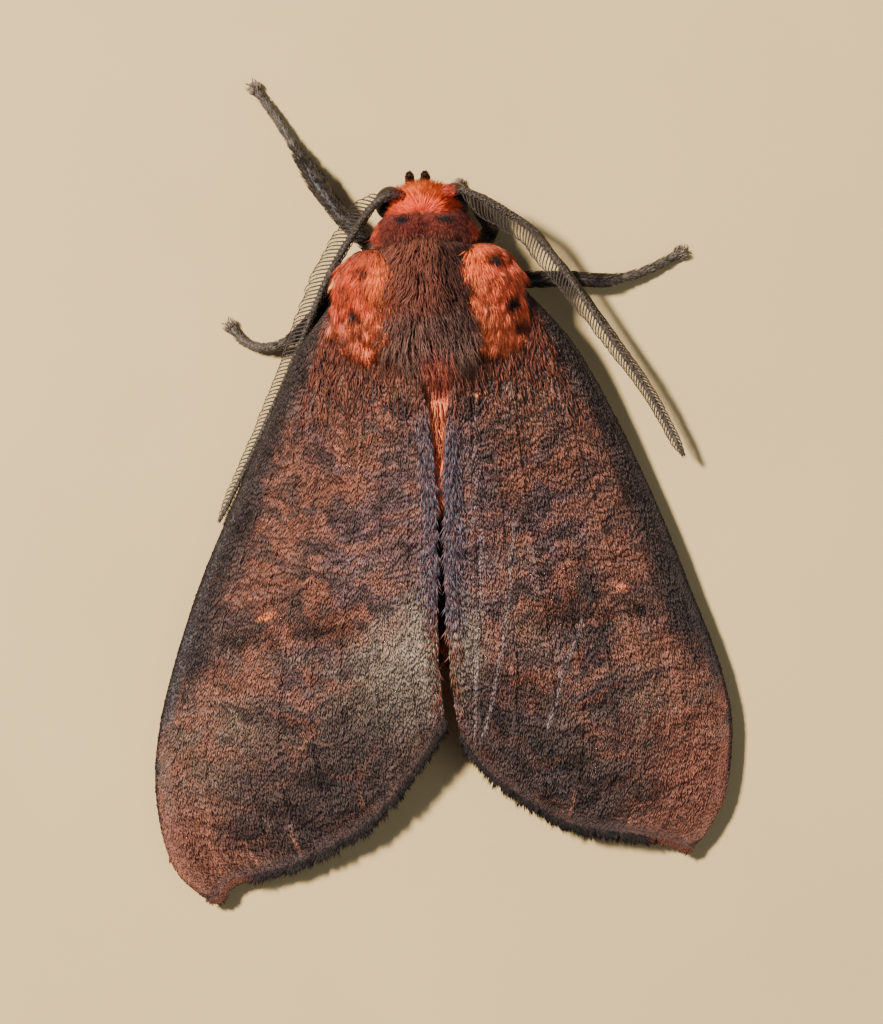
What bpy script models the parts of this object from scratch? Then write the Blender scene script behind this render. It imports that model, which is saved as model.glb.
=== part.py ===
"""A tiger moth at rest, life size, as one still museum-like model.

Metres, +Z up. The moth stands on the floor at z = 0 with its head towards -Y and its own left side
at +X. The shapes are worked out in millimetres, in a frame whose plane x = 0 is the body's middle,
and an empty then shifts the whole moth so that the middle of its box is at the origin.
"""

import math

import bmesh
import bpy
import numpy as np

MM = 0.001

# Driving dimensions, in millimetres
GAP = 0.3
CUTTER_GROWTH = 0.42
CENTRE_SHIFT = (-0.55, 0.05, 0.0)

WING_THICKNESS = 0.5
HINDWING_GAP = 0.45
VEIN_HEIGHT = 0.16
VEIN_SHARE = 0.03
TIP_BAND = 0.93
ROOF_RIDGE = 6.1
ROOF_RIDGE_FALL = 0.19
ROOF_RIDGE_START = -5.0
COSTA_LOW = 0.95
COSTA_RISE = 2.7
COSTA_FADE = 5.0
WING_BASE_Y = -9.2
ROOF_CURVE = 1.3

DOME_HEIGHT = 7.5
DOME_TOP_Y = -9.0
DOME_FRONT_FALL = 0.115
DOME_BACK_FALL = 0.04
DOME_SIDE_FALL = 0.12
DOME_FRONT_NARROWING = 0.032
CORE_DEPTH = 0.65
PLATE_LIFT = 0.05

TEGULA_MIDDLE = (3.3, -8.85)
TEGULA_HALF_SIZE = (1.45, 2.35)
TEGULA_THICKNESS = 0.7
PATAGIUM_MIDDLE = (1.48, -12.5)
PATAGIUM_HALF_SIZE = (1.3, 0.72)
PATAGIUM_THICKNESS = 0.6

EYE_RADIUS = 0.85
EYE_CENTRE = (1.58, -13.65, 3.3)
PALP_MIDDLE = 0.15
PALP_APART = 0.43
PALP_LINE = ((-14.5, 1.85), (-15.0, 2.35), (-15.2, 3.2), (-15.02, 4.1))
PALP_RADII = (0.26, 0.27, 0.27, 0.25, 0.2, 0.13)
HEAD_CENTRE = (0.0, -13.45, 3.45)
HEAD_HALF_SIZE = (1.8, 1.12, 1.45)

FOOT_RADIUS = 0.38
FOOT_HEIGHT = 0.34

# Wing outlines seen from above, each from the wing's base outwards
WING_OUTLINES = {
    "left": {
        "costa": [(4.42, -9.24), (6.48, -6.75), (8.13, -3.61), (10.08, 0.35), (11.97, 4.22),
                  (13.47, 8.06), (14.43, 11.19), (14.85, 14.11), (14.61, 16.93), (13.89, 18.83),
                  (12.45, 20.2)],
        "inner": [(3.1, -9.4), (1.72, -7.46), (0.85, -5.4), (0.47, -3.9), (0.27, -1.97),
                  (0.22, 0.98), (0.38, 5.0), (0.54, 8.8), (0.36, 11.86)],
        "outer": [(0.36, 11.86), (1.6, 13.6), (3.92, 16.35), (5.78, 17.56), (8.0, 18.55),
                  (10.17, 19.0), (11.27, 19.38), (11.82, 20.08), (12.45, 20.2)],
    },
    "right": {
        "costa": [(-4.55, -9.24), (-6.86, -6.48), (-8.74, -2.88), (-10.65, 1.79), (-12.1, 6.1),
                  (-13.3, 9.8), (-13.75, 12.8), (-13.3, 16.03), (-12.35, 17.89), (-11.35, 18.95)],
        "inner": [(-3.2, -9.3), (-1.94, -7.25), (-1.11, -5.58), (-0.72, -3.89), (-0.46, -1.94),
                  (-0.24, 0.98), (-0.06, 4.5), (-0.02, 8.0), (-0.12, 10.8), (-0.36, 12.59)],
        "outer": [(-0.36, 12.59), (-1.44, 14.25), (-2.97, 15.73), (-5.38, 17.33), (-8.54, 18.06),
                  (-10.32, 18.61), (-10.89, 18.98), (-11.35, 18.95)],
    },
}

# Each leg from the hip to the foot: x, y, z and radius
LEG_PATHS = {
    "front_left": [(1.2, -11.0, 2.6, 0.5), (2.6, -11.7, 2.1, 0.5), (3.75, -12.9, 1.9, 0.5),
                   (4.5, -13.9, 1.8, 0.5), (5.2, -15.05, 1.6, 0.58), (5.85, -16.2, 1.15, 0.36),
                   (6.35, -17.15, 0.85, 0.26), (7.15, -18.6, 0.5, 0.25), (8.1, -20.05, 0.3, 0.25)],
    "front_right": [(-1.2, -11.0, 2.6, 0.5), (-2.5, -11.4, 2.0, 0.5), (-3.2, -12.2, 1.5, 0.42),
                    (-2.75, -13.2, 1.0, 0.32), (-2.1, -14.1, 0.6, 0.26), (-1.8, -14.55, 0.3, 0.25)],
    "mid_left": [(2.2, -9.7, 2.4, 0.5), (4.0, -9.5, 1.9, 0.5), (4.9, -9.05, 1.75, 0.46),
                 (6.1, -7.95, 1.5, 0.38), (7.1, -7.25, 1.2, 0.3), (8.2, -7.05, 0.85, 0.26),
                 (9.2, -7.4, 0.5, 0.25), (9.95, -8.3, 0.3, 0.25)],
    "mid_right": [(-2.2, -9.7, 2.4, 0.5), (-3.9, -9.65, 1.95, 0.5), (-5.3, -9.6, 1.75, 0.46),
                  (-7.0, -9.55, 1.55, 0.4), (-8.5, -9.4, 1.25, 0.36), (-9.4, -9.45, 0.95, 0.28),
                  (-10.4, -9.65, 0.65, 0.26), (-11.6, -10.1, 0.45, 0.25), (-12.7, -10.65, 0.3, 0.25)],
    "hind_left": [(1.4, -8.0, 2.2, 0.5), (3.0, -6.6, 1.9, 0.5), (4.2, -4.4, 1.75, 0.42),
                  (4.9, -1.0, 1.5, 0.4), (5.2, 2.6, 1.15, 0.36), (5.2, 5.4, 0.75, 0.27),
                  (5.1, 8.0, 0.45, 0.25), (4.9, 10.0, 0.3, 0.25)],
    "hind_right": [(-1.4, -8.0, 2.2, 0.5), (-3.0, -6.6, 1.9, 0.5), (-4.2, -4.4, 1.75, 0.42),
                   (-4.9, -1.0, 1.5, 0.4), (-5.2, 2.6, 1.15, 0.36), (-5.2, 5.4, 0.75, 0.27),
                   (-5.1, 8.0, 0.45, 0.25), (-4.9, 10.0, 0.3, 0.25)],
}

# The row of combs that faces away from the body, as a turn to the right (1) or left (-1) of the shaft
OUTER_ROW = {"left": -1, "right": 1}

# Each antenna's shaft from the scape to the tip
ANTENNA_PATHS = {
    "left": [(1.2, -13.98, 4.78), (1.9, -13.95, 4.95), (2.8, -13.48, 4.5), (3.85, -12.35, 3.55),
             (4.9, -10.9, 3.05), (5.85, -9.1, 2.75), (6.75, -7.4, 2.35), (7.65, -5.65, 1.5),
             (8.6, -3.8, 0.85), (9.9, -1.2, 0.6), (11.15, 1.38, 0.5)],
    "right": [(-1.15, -14.0, 4.78), (-1.85, -14.02, 4.83), (-2.85, -13.6, 4.45),
              (-4.05, -12.88, 3.75), (-5.2, -12.0, 3.2), (-6.1, -10.8, 2.85), (-7.05, -9.4, 2.65),
              (-8.9, -6.45, 2.25), (-10.65, -3.5, 1.9), (-11.95, -0.85, 1.7)],
}
SCAPE_RADIUS = 0.36
SHAFT_RADIUS = 0.27
SHAFT_THINNING = 0.3
RAMUS_PITCH = 0.88
RAMUS_LENGTH = 0.96
RAMUS_SWEEP = math.radians(48)
RAMUS_ROOT = 0.46
RAMUS_SINK = 0.04
RAMUS_TIP = 0.2
OUTER_DROOP = 0.12
INNER_DROOP = 0.3

LOCK_THICKNESS = 0.5
# Sections of a lock: share of its length, of its width and of its thickness
LOCK_SECTIONS = ((0.0, 0.8, 1.0), (0.36, 1.0, 1.0), (0.72, 0.7, 0.8), (1.0, 0.0, 0.0))
# Heights of locks above the surface they lie on, from root to tip
FLANK_HEIGHTS = ((0.0, -0.35), (0.35, 0.2), (0.7, 0.3), (1.0, 0.15))
HEAD_HEIGHTS = (-0.35, 0.2, 0.45, 0.75)
TEGULA_HEIGHTS = (-0.05, 0.36, 0.4, 0.15)
PATAGIUM_HEIGHTS = (-0.05, 0.28, 0.34, 0.25)


def smooth_path(points, count):
    """Points evenly spaced along a Catmull-Rom curve through the given points."""
    points = np.asarray(points, float)
    ends = np.vstack([2 * points[0] - points[1], points, 2 * points[-1] - points[-2]])
    dense = []
    steps = np.linspace(0, 1, 24, endpoint=False)[:, None]
    for before, start, end, after in zip(ends, ends[1:], ends[2:], ends[3:]):
        dense.append(0.5 * (2 * start + (end - before) * steps
                            + (2 * before - 5 * start + 4 * end - after) * steps**2
                            + (3 * start - before - 3 * end + after) * steps**3))
    dense = np.vstack(dense + [points[-1:]])
    length = np.concatenate([[0], np.cumsum(np.linalg.norm(np.diff(dense, axis=0), axis=1))])
    stations = np.linspace(0, length[-1], count)
    return np.stack([np.interp(stations, length, column) for column in dense.T], axis=1)


def costa_reach(y):
    """How far from the middle the costal edges lie at a station along the body."""
    sides = []
    for outline in WING_OUTLINES.values():
        reach, along = smooth_path(outline["costa"], 60).T
        order = np.argsort(along)
        sides.append(np.interp(y, along[order], np.abs(reach[order])))
    return np.maximum(sides[0], sides[1])


def roof(x, y):
    """Height of the folded wings' middle surface: a ridge that curves down to the costae."""
    ridge = ROOF_RIDGE - ROOF_RIDGE_FALL * np.maximum(y - ROOF_RIDGE_START, 0)
    costa = COSTA_LOW + COSTA_RISE * np.exp(-np.maximum(y - WING_BASE_Y, -1.0) / COSTA_FADE)
    share = np.clip(np.abs(x) / costa_reach(y), 0, 1.2)
    return costa + (ridge - costa) * (1 - share**ROOF_CURVE)


def dome(x, y):
    """Height of the coat's surface over the thorax."""
    behind = np.maximum(y - DOME_TOP_Y, 0)
    ahead = np.maximum(DOME_TOP_Y - y, 0)
    side = DOME_SIDE_FALL + DOME_FRONT_NARROWING * np.maximum(ahead - 1.0, 0)
    return DOME_HEIGHT - DOME_BACK_FALL * behind**2 - DOME_FRONT_FALL * ahead**2 - side * x**2


def mesh_object(name, vertices, faces):
    """A mesh object from points in millimetres, with its faces turned outwards."""
    mesh = bpy.data.meshes.new(name)
    mesh.from_pydata([tuple(point) for point in np.asarray(vertices) * MM], [], faces)
    work = bmesh.new()
    work.from_mesh(mesh)
    bmesh.ops.remove_doubles(work, verts=work.verts, dist=1e-7)
    bmesh.ops.triangulate(work, faces=[face for face in work.faces if len(face.verts) > 3])
    bmesh.ops.recalc_face_normals(work, faces=work.faces)
    work.to_mesh(mesh)
    work.free()
    return bpy.data.objects.new(name, mesh)


def loft(name, rings):
    """A closed body through rings with the same number of points; a ring of equal points is a tip."""
    rings = np.asarray(rings, float)
    stations, sides = rings.shape[:2]
    faces = []
    for station in range(stations - 1):
        for side in range(sides):
            after = (side + 1) % sides
            low, high = station * sides, (station + 1) * sides
            faces.append((low + side, low + after, high + after))
            faces.append((low + side, high + after, high + side))
    faces.append(tuple(range(sides)))
    faces.append(tuple(range((stations - 1) * sides, stations * sides)))
    return mesh_object(name, rings.reshape(-1, 3), faces)


def oval_ring(centre, along, half_width, half_height, sides):
    """A ring of points across a direction, level from side to side."""
    along = np.asarray(along, float) / np.linalg.norm(along)
    across = np.cross(along, (0.0, 0.0, 1.0))
    across /= np.linalg.norm(across)
    upward = np.cross(across, along)
    turn = np.linspace(0, 2 * math.pi, sides, endpoint=False)[:, None]
    ring = half_width * np.cos(turn) * across + half_height * np.sin(turn) * upward
    return np.asarray(centre) + ring


def body_rings(stations, grow=0.0, sides=20):
    """Rings of a body along Y, from rows of y, half width, lowest z and highest z."""
    rings = []
    turn = np.linspace(0, 2 * math.pi, sides, endpoint=False)
    for y, half_width, low, high in stations:
        ring = np.empty((sides, 3))
        ring[:, 0] = (half_width + grow) * np.cos(turn)
        ring[:, 1] = y
        ring[:, 2] = (low + high) / 2 + ((high - low) / 2 + grow) * np.sin(turn)
        rings.append(ring)
    return rings


def sphere(name, centre, half_size, segments=20, rings=12):
    """An ellipsoid from a sphere primitive."""
    bpy.ops.mesh.primitive_uv_sphere_add(segments=segments, ring_count=rings, radius=1.0)
    obj = bpy.context.object
    obj.name = name
    points = np.empty(len(obj.data.vertices) * 3)
    obj.data.vertices.foreach_get("co", points)
    points = points.reshape(-1, 3) * np.asarray(half_size) + np.asarray(centre)
    obj.data.vertices.foreach_set("co", (points * MM).ravel())
    obj.data.update()
    return unlinked(obj)


def lock(name, path, upward, width, thickness=LOCK_THICKNESS):
    """A flat lock of hair along a path: widest a third of the way, then tapering to a point.

    Each section is a flattened diamond, its long axis square to the path and to what lies below.
    """
    stations = smooth_path(path, 25)
    along = np.gradient(stations, axis=0)
    rings = []
    for share, width_share, thickness_share in LOCK_SECTIONS:
        row = round(share * 24)
        across = np.cross(along[row], upward)
        across *= width * width_share / 2 / np.linalg.norm(across)
        raised = np.cross(across, along[row])
        raised *= thickness * thickness_share / 2 / max(np.linalg.norm(raised), 1e-9)
        middle = stations[row]
        rings.append([middle - across, middle + raised, middle + across, middle - raised])
    return loft(name, rings)


def coat_lock(surface, root, tip, width, heights, bend=0.0):
    """A lock that lies over a surface from a root to a tip, at heights above it along its length."""
    root, tip = np.asarray(root, float), np.asarray(tip, float)
    aside = np.array([-(tip - root)[1], (tip - root)[0]]) * bend
    path = []
    for share, height in zip(np.linspace(0, 1, len(heights)), heights):
        x, y = root + (tip - root) * share + aside * 4 * share * (1 - share)
        path.append((x, y, surface(x, y) + height))
    return lock("lock", path, (0.0, 0.0, 1.0), width)


def unlinked(obj):
    """The object taken out of every collection, to be placed later."""
    for collection in list(obj.users_collection):
        collection.objects.unlink(obj)
    return obj


def tube(name, path, radii):
    """A round tube along a path, from a curve with a bevel and filled caps."""
    curve = bpy.data.curves.new(name, "CURVE")
    curve.dimensions = "3D"
    curve.bevel_depth = MM
    curve.bevel_resolution = 2
    curve.use_fill_caps = True
    spline = curve.splines.new("POLY")
    spline.points.add(len(path) - 1)
    for point, place, radius in zip(spline.points, path, radii):
        point.co = (*(np.asarray(place) * MM), 1.0)
        point.radius = radius
    helper = bpy.data.objects.new(name + "_curve", curve)
    workshop.objects.link(helper)
    mesh = evaluated_mesh(helper)
    mesh.name = name
    bpy.data.objects.remove(helper)
    bpy.data.curves.remove(curve)
    work = bmesh.new()
    work.from_mesh(mesh)
    bmesh.ops.remove_doubles(work, verts=work.verts, dist=1e-6)
    bmesh.ops.triangulate(work, faces=work.faces)
    bmesh.ops.recalc_face_normals(work, faces=work.faces)
    work.to_mesh(mesh)
    work.free()
    return bpy.data.objects.new(name, mesh)


def evaluated_mesh(obj):
    """A new mesh of the object as its modifiers leave it."""
    bpy.context.view_layer.update()
    graph = bpy.context.evaluated_depsgraph_get()
    return bpy.data.meshes.new_from_object(obj.evaluated_get(graph))


def keep_largest(mesh):
    """Leaves only the largest closed surface, which fills sealed hollows and drops loose scraps."""
    work = bmesh.new()
    work.from_mesh(mesh)
    bmesh.ops.remove_doubles(work, verts=work.verts, dist=1e-7)
    waiting = set(work.verts)
    groups = []
    while waiting:
        group = {waiting.pop()}
        edge = list(group)
        while edge:
            vert = edge.pop()
            near = {link.other_vert(vert) for link in vert.link_edges} - group
            group |= near
            edge.extend(near)
        waiting -= group
        groups.append(group)
    largest = max(groups, key=len)
    loose = [vert for vert in work.verts if vert not in largest]
    bmesh.ops.delete(work, geom=loose, context="VERTS")
    work.to_mesh(mesh)
    work.free()


def boolean(obj, others, operation):
    """Joins closed objects to this one, or cuts them from it, in one exact Boolean."""
    group = bpy.data.collections.new("operands")
    workshop.children.link(group)
    for other in others:
        group.objects.link(other)
    workshop.objects.link(obj)
    modifier = obj.modifiers.new(operation.lower(), "BOOLEAN")
    modifier.operation = operation
    modifier.operand_type = "COLLECTION"
    modifier.collection = group
    modifier.solver = "EXACT"
    mesh = evaluated_mesh(obj)
    obj.modifiers.clear()
    old = obj.data
    obj.data = mesh
    bpy.data.meshes.remove(old)
    workshop.objects.unlink(obj)
    for other in list(group.objects):
        shape = other.data
        bpy.data.objects.remove(other)
        bpy.data.meshes.remove(shape)
    bpy.data.collections.remove(group)
    keep_largest(obj.data)
    return obj


def joined(obj, others):
    return boolean(obj, others, "UNION")


def cut(obj, others):
    return boolean(obj, others, "DIFFERENCE")


def material(name, colour, roughness, metallic=0.0):
    """A plain finish in the part's colour."""
    finish = bpy.data.materials.new(name)
    finish.use_nodes = True
    shader = finish.node_tree.nodes["Principled BSDF"]
    shader.inputs["Base Color"].default_value = (*colour, 1.0)
    shader.inputs["Roughness"].default_value = roughness
    shader.inputs["Metallic"].default_value = metallic
    finish.diffuse_color = (*colour, 1.0)
    return finish


def place(obj, finish, angle=35.0):
    """Puts a finished part in the moth's collection, on its empty, with its own finish."""
    obj.data.materials.clear()
    obj.data.materials.append(finish)
    obj.data.shade_smooth()
    obj.data.set_sharp_from_angle(angle=math.radians(angle))
    moth.objects.link(obj)
    obj.parent = centre
    return obj


# The body

THORAX_STATIONS = (
    # y, half width, lowest and highest; None follows the coat's dome
    (-12.5, 1.0, 2.8, 5.0), (-12.3, 1.7, 2.3, None), (-11.5, 2.5, 1.7, None),
    (-10.4, 3.3, 1.3, None), (-9.3, 3.8, 1.15, None), (-8.1, 3.7, 1.15, None),
    (-7.0, 3.1, 1.3, None), (-6.3, 2.3, 1.5, 6.3), (-5.95, 1.3, 2.0, 5.2),
)
TUFT_ROWS = (
    # y of the roots, x of each root, lock length, width and how far the row fans outwards
    (-11.5, (-0.75, 0.0, 0.75), 2.0, 0.8, 1.1),
    (-10.6, (-0.95, -0.32, 0.32, 0.95), 2.1, 0.75, 1.05),
    (-9.6, (-0.9, 0.0, 0.9), 2.2, 0.9, 1.08),
    (-8.7, (-0.95, -0.32, 0.32, 0.95), 2.2, 0.75, 1.08),
    (-7.9, (-0.85, 0.0, 0.85), 2.2, 0.9, 1.2),
    (-7.2, (-1.0, -0.36, 0.36, 1.0), 2.1, 0.8, 1.5),
)


def thorax_rings(grow=0.0):
    """The thorax's core, whose top follows the coat's dome a little way below it."""
    stations = []
    for y, half_width, low, high in THORAX_STATIONS:
        stations.append((y, half_width, low, high or dome(0.0, y) - CORE_DEPTH))
    rings = body_rings(stations, grow)
    rings[0][:, 1] -= grow
    rings[-1][:, 1] += grow
    return rings


def thorax_core(grow=0.0):
    return loft("thorax", thorax_rings(grow))


# Locks round the thorax below the wings: y of the root, turn down from the side, length
FLANK_LOCKS = ((-12.2, 22, 1.5), (-11.9, -6, 1.6), (-11.0, 14, 1.4))
BELLY_LOCKS = (
    (-11.9, -90, 1.8), (-11.2, -64, 1.7), (-9.9, -90, 1.9), (-8.9, -66, 1.8), (-7.9, -90, 1.7),
)


def flank_lock(y, turn, length, flip):
    """A lock that lies backwards on the thorax's side or belly, at a turn round its section."""
    core = np.array(THORAX_STATIONS, dtype=object)
    top = [row[3] or dome(0.0, row[0]) - CORE_DEPTH for row in core]
    path = []
    for share, height in FLANK_HEIGHTS:
        here = y + length * share
        reach, low, high = (np.interp(here, core[:, 0].astype(float), np.asarray(column, float))
                            for column in (core[:, 1], core[:, 2], top))
        around = math.radians(turn - 8 * share)
        path.append((flip * (reach + height) * math.cos(around), here,
                     (low + high) / 2 + ((high - low) / 2 + height) * math.sin(around)))
    outwards = (flip * math.cos(math.radians(turn)), 0.0, math.sin(math.radians(turn)))
    return lock("lock", path, outwards, 0.8)


def thorax():
    """The thorax's core with rows of long hair that lie backwards between the shoulder covers."""
    locks = [flank_lock(*row, flip) for row in FLANK_LOCKS for flip in (1, -1)]
    for y, turn, length in BELLY_LOCKS:
        for flip in (1, -1) if turn != -90 else (1,):
            locks.append(flank_lock(y, turn, length, flip))
    for y, places, length, width, fan in TUFT_ROWS:
        for x in places:
            wave = math.sin(7 * x + 3 * y)
            tip = (x * fan + 0.06 * wave, y + length * (1 + 0.06 * wave))
            heights = (-1.0, -0.15, 0.12 + 0.05 * wave, 0.0)
            locks.append(coat_lock(dome, (x, y), tip, width, heights, 0.04 * wave))
    return joined(thorax_core(), locks)


# The crest along the abdomen's back, which shows between the wings: root, top of the bend and tip
CREST_LOCKS = (
    ((-0.36, -5.9, 3.2), (-0.34, -4.9, 5.0), (-0.24, -3.5, 5.15)),
    ((0.08, -5.9, 3.2), (0.05, -4.9, 5.0), (0.0, -3.4, 5.15)),
    ((-0.12, -4.8, 3.3), (-0.14, -3.4, 4.7), (-0.12, -1.9, 4.75)),
    ((-0.1, -3.4, 3.3), (-0.1, -1.9, 4.4), (-0.06, -0.2, 4.45)),
    ((-0.05, -1.9, 3.2), (-0.05, -0.3, 4.1), (0.0, 1.5, 4.1)),
)
CREST_WIDTH = 0.52
SIDE_LOCK_STATIONS = (-3.6, -1.9, -0.2, 1.5, 3.2, 4.9)
SIDE_LOCK_WIDTH = 0.75
TAIL_LOCK_TURNS = (-0.5, -0.17, 0.17, 0.5)
ABDOMEN_START = -6.2
ABDOMEN_END = 8.6
ABDOMEN_SEGMENTS = 8
ABDOMEN_HALF_WIDTH = 2.55
ABDOMEN_FLATNESS = 0.58
SEGMENT_SWELL = 0.07


def abdomen_stations():
    """Rows of y, half width, lowest and highest z, two to a segment, for a body that tapers back."""
    rows = []
    for share in np.linspace(0, 1, ABDOMEN_SEGMENTS * 2 + 1):
        taper = math.sqrt(1 - share**3) * (0.85 + 0.6 * share - 0.45 * share**2)
        swell = SEGMENT_SWELL * math.cos(math.pi * 2 * ABDOMEN_SEGMENTS * share)
        half_width = max(ABDOMEN_HALF_WIDTH * taper - swell, 0.35)
        middle = 2.3 - 0.95 * share
        half_height = ABDOMEN_FLATNESS * half_width
        y = ABDOMEN_START + (ABDOMEN_END - ABDOMEN_START) * share
        rows.append((y, half_width, middle - half_height, middle + half_height))
    return rows


def abdomen():
    """The tapering abdomen: a low swelling on each segment, a crest, side locks and a tail tuft."""
    stations = abdomen_stations()
    body = loft("abdomen", body_rings(stations, sides=14))
    locks = [lock("lock", path, (0.0, 0.0, 1.0), CREST_WIDTH) for path in CREST_LOCKS]
    y_rows, half_widths, lows, highs = np.array(stations).T
    for y in SIDE_LOCK_STATIONS:
        reach = np.interp(y, y_rows, half_widths)
        level = np.interp(y, y_rows, (lows + highs) / 2)
        for flip in (1, -1):
            path = [(flip * (reach - 0.3), y, level), (flip * (reach + 0.16), y + 0.9, level),
                    (flip * (reach + 0.05), y + 1.9, level - 0.2)]
            locks.append(lock("lock", path, (flip * 1.0, 0.0, 0.3), SIDE_LOCK_WIDTH))
    for turn in TAIL_LOCK_TURNS:
        root = np.array([0.5 * math.sin(turn), ABDOMEN_END - 1.3, 1.4])
        tip = root + np.array([1.9 * math.sin(turn), 2.3 * math.cos(turn), -0.35])
        bend = (root + tip) / 2 + (0, 0, 0.12)
        locks.append(lock("lock", [root, bend, tip], (0.0, 0.0, 1.0), SIDE_LOCK_WIDTH))
    return cut(joined(body, locks), [thorax_core(CUTTER_GROWTH)])


# The tuft on the head radiates from this point
TUFT_CENTRE = (0.08, -13.25)


def head_top(x, y):
    """Height of the head's upper surface."""
    across = (x - HEAD_CENTRE[0]) / HEAD_HALF_SIZE[0]
    along = (y - HEAD_CENTRE[1]) / HEAD_HALF_SIZE[1]
    ratio = across**2 + along**2
    return HEAD_CENTRE[2] + HEAD_HALF_SIZE[2] * np.sqrt(np.clip(1 - ratio, 0.12, 1))


def head():
    """The head with a socket for each eye and a tuft that radiates forwards over the face."""
    body = sphere("head", HEAD_CENTRE, HEAD_HALF_SIZE, segments=18, rings=10)
    sockets = []
    for side in (1, -1):
        centre_point = (side * EYE_CENTRE[0], EYE_CENTRE[1], EYE_CENTRE[2])
        sockets.append(sphere("socket", centre_point, [EYE_RADIUS + GAP] * 3))
    body = cut(body, sockets + [thorax_core(CUTTER_GROWTH)])
    locks = []
    for turn in np.linspace(-62, 62, 7):
        sideways, forwards = math.sin(math.radians(turn)), -math.cos(math.radians(turn))
        root = (TUFT_CENTRE[0] + 0.25 * sideways, TUFT_CENTRE[1] + 0.25 * forwards)
        tip = (TUFT_CENTRE[0] + 0.95 * sideways, TUFT_CENTRE[1] + 1.45 * forwards)
        locks.append(coat_lock(head_top, root, tip, 0.6, HEAD_HEIGHTS))
    return joined(body, locks)


def eye(name, side):
    centre_point = (side * EYE_CENTRE[0], EYE_CENTRE[1], EYE_CENTRE[2])
    return sphere(name, centre_point, [EYE_RADIUS] * 3, segments=16, rings=10)


def palp(name, side):
    """A short feeler under the face that curves up to its tip."""
    x = PALP_MIDDLE + side * PALP_APART
    path = [(x, y, z) for y, z in PALP_LINE]
    return tube(name, smooth_path(path, len(PALP_RADII)), PALP_RADII)


def plate(name, outline, height, thickness, spokes=16):
    """A lens-shaped plate over a curved surface, whose outline is a function of the turn."""
    turn = np.linspace(0, 2 * math.pi, spokes, endpoint=False)
    edge = np.array([outline(angle) for angle in turn])
    middle = edge.mean(axis=0)
    points = []
    for reach in (0.45, 0.8, 1.0):
        flat = middle + (edge - middle) * reach
        level = height(flat[:, 0], flat[:, 1])
        half = thickness / 2 * (1 - 0.55 * reach**4)
        points.append(np.column_stack([flat, level + half]))
        points.append(np.column_stack([flat, level - half]))
    level = height(*middle)
    poles = [(*middle, level + thickness / 2), (*middle, level - thickness / 2)]
    upper, lower = points[0::2], points[1::2]
    top, bottom = (np.tile(pole, (spokes, 1)) for pole in poles)
    return loft(name, [top] + upper + lower[::-1] + [bottom])


TEGULA_ROWS = (
    # y of the roots, x of each root, lock length and width
    (-10.5, (2.7, 3.4), 1.9, 0.8), (-9.7, (2.3, 3.1, 3.9), 2.1, 0.85),
    (-8.6, (2.35, 3.15, 3.95), 2.1, 0.85), (-7.7, (2.4, 3.15, 3.9, 4.45), 1.95, 0.8),
)


def tegula(name, side):
    """The shoulder cover that lies over the wing's base."""

    def outline(angle):
        across = TEGULA_HALF_SIZE[0] * math.cos(angle) * (1 - 0.12 * math.sin(angle))
        along = TEGULA_HALF_SIZE[1] * math.sin(angle)
        return side * (TEGULA_MIDDLE[0] + across + 0.12 * along), TEGULA_MIDDLE[1] + along

    def height(x, y):
        return dome(x, y) + 2 * PLATE_LIFT

    body = plate(name, outline, height, TEGULA_THICKNESS, spokes=14)
    locks = []
    for y, places, length, width in TEGULA_ROWS:
        for x in places:
            wave = math.sin(5 * x + 2 * y)
            tip = (side * (x + 0.16 * (x - 3.0)), y + length * (1 + 0.07 * wave))
            bend = 0.04 * wave
            locks.append(coat_lock(dome, (side * x, y), tip, width, TEGULA_HEIGHTS, bend))
    return joined(body, locks)


def patagium(name, side):
    """One half of the collar behind the head."""

    def outline(angle):
        across = PATAGIUM_HALF_SIZE[0] * math.cos(angle)
        along = PATAGIUM_HALF_SIZE[1] * math.sin(angle)
        x = side * (PATAGIUM_MIDDLE[0] + across)
        return x, PATAGIUM_MIDDLE[1] + along + 0.16 * across**2

    def height(x, y):
        return dome(x, y) + PLATE_LIFT

    body = plate(name, outline, height, PATAGIUM_THICKNESS, spokes=12)
    locks = []
    for x in (0.6, 1.2, 1.8, 2.35):
        root_y = -12.95 + 0.1 * x**2
        tip = (side * x * 1.03, root_y + 1.05)
        locks.append(coat_lock(dome, (side * x, root_y), tip, 0.6, PATAGIUM_HEIGHTS))
    return joined(body, locks)


# The wings


def patch(outline, along, across):
    """Points of a four-sided patch between a wing's base, inner, outer and costal edges.

    Each point blends the two long edges and the two short ones, less the blend of the corners.
    """
    inner = smooth_path(outline["inner"], 200)
    costa = smooth_path(outline["costa"], 200)
    outer = smooth_path(outline["outer"], 200)
    dense = np.linspace(0, 1, 200)

    def at(path, share):
        return np.stack([np.interp(share, dense, column) for column in path.T], axis=-1)

    s, t = np.meshgrid(along, across, indexing="ij")
    base = inner[0] + (costa[0] - inner[0]) * t[..., None]
    s, t = s[..., None], t[..., None]
    long_edges = (1 - t) * at(inner, along)[:, None] + t * at(costa, along)[:, None]
    short_edges = (1 - s) * base + s * at(outer, across)[None]
    corners = ((1 - s) * (1 - t) * inner[0] + s * (1 - t) * inner[-1]
               + (1 - s) * t * costa[0] + s * t * costa[-1])
    return long_edges + short_edges - corners


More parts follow.
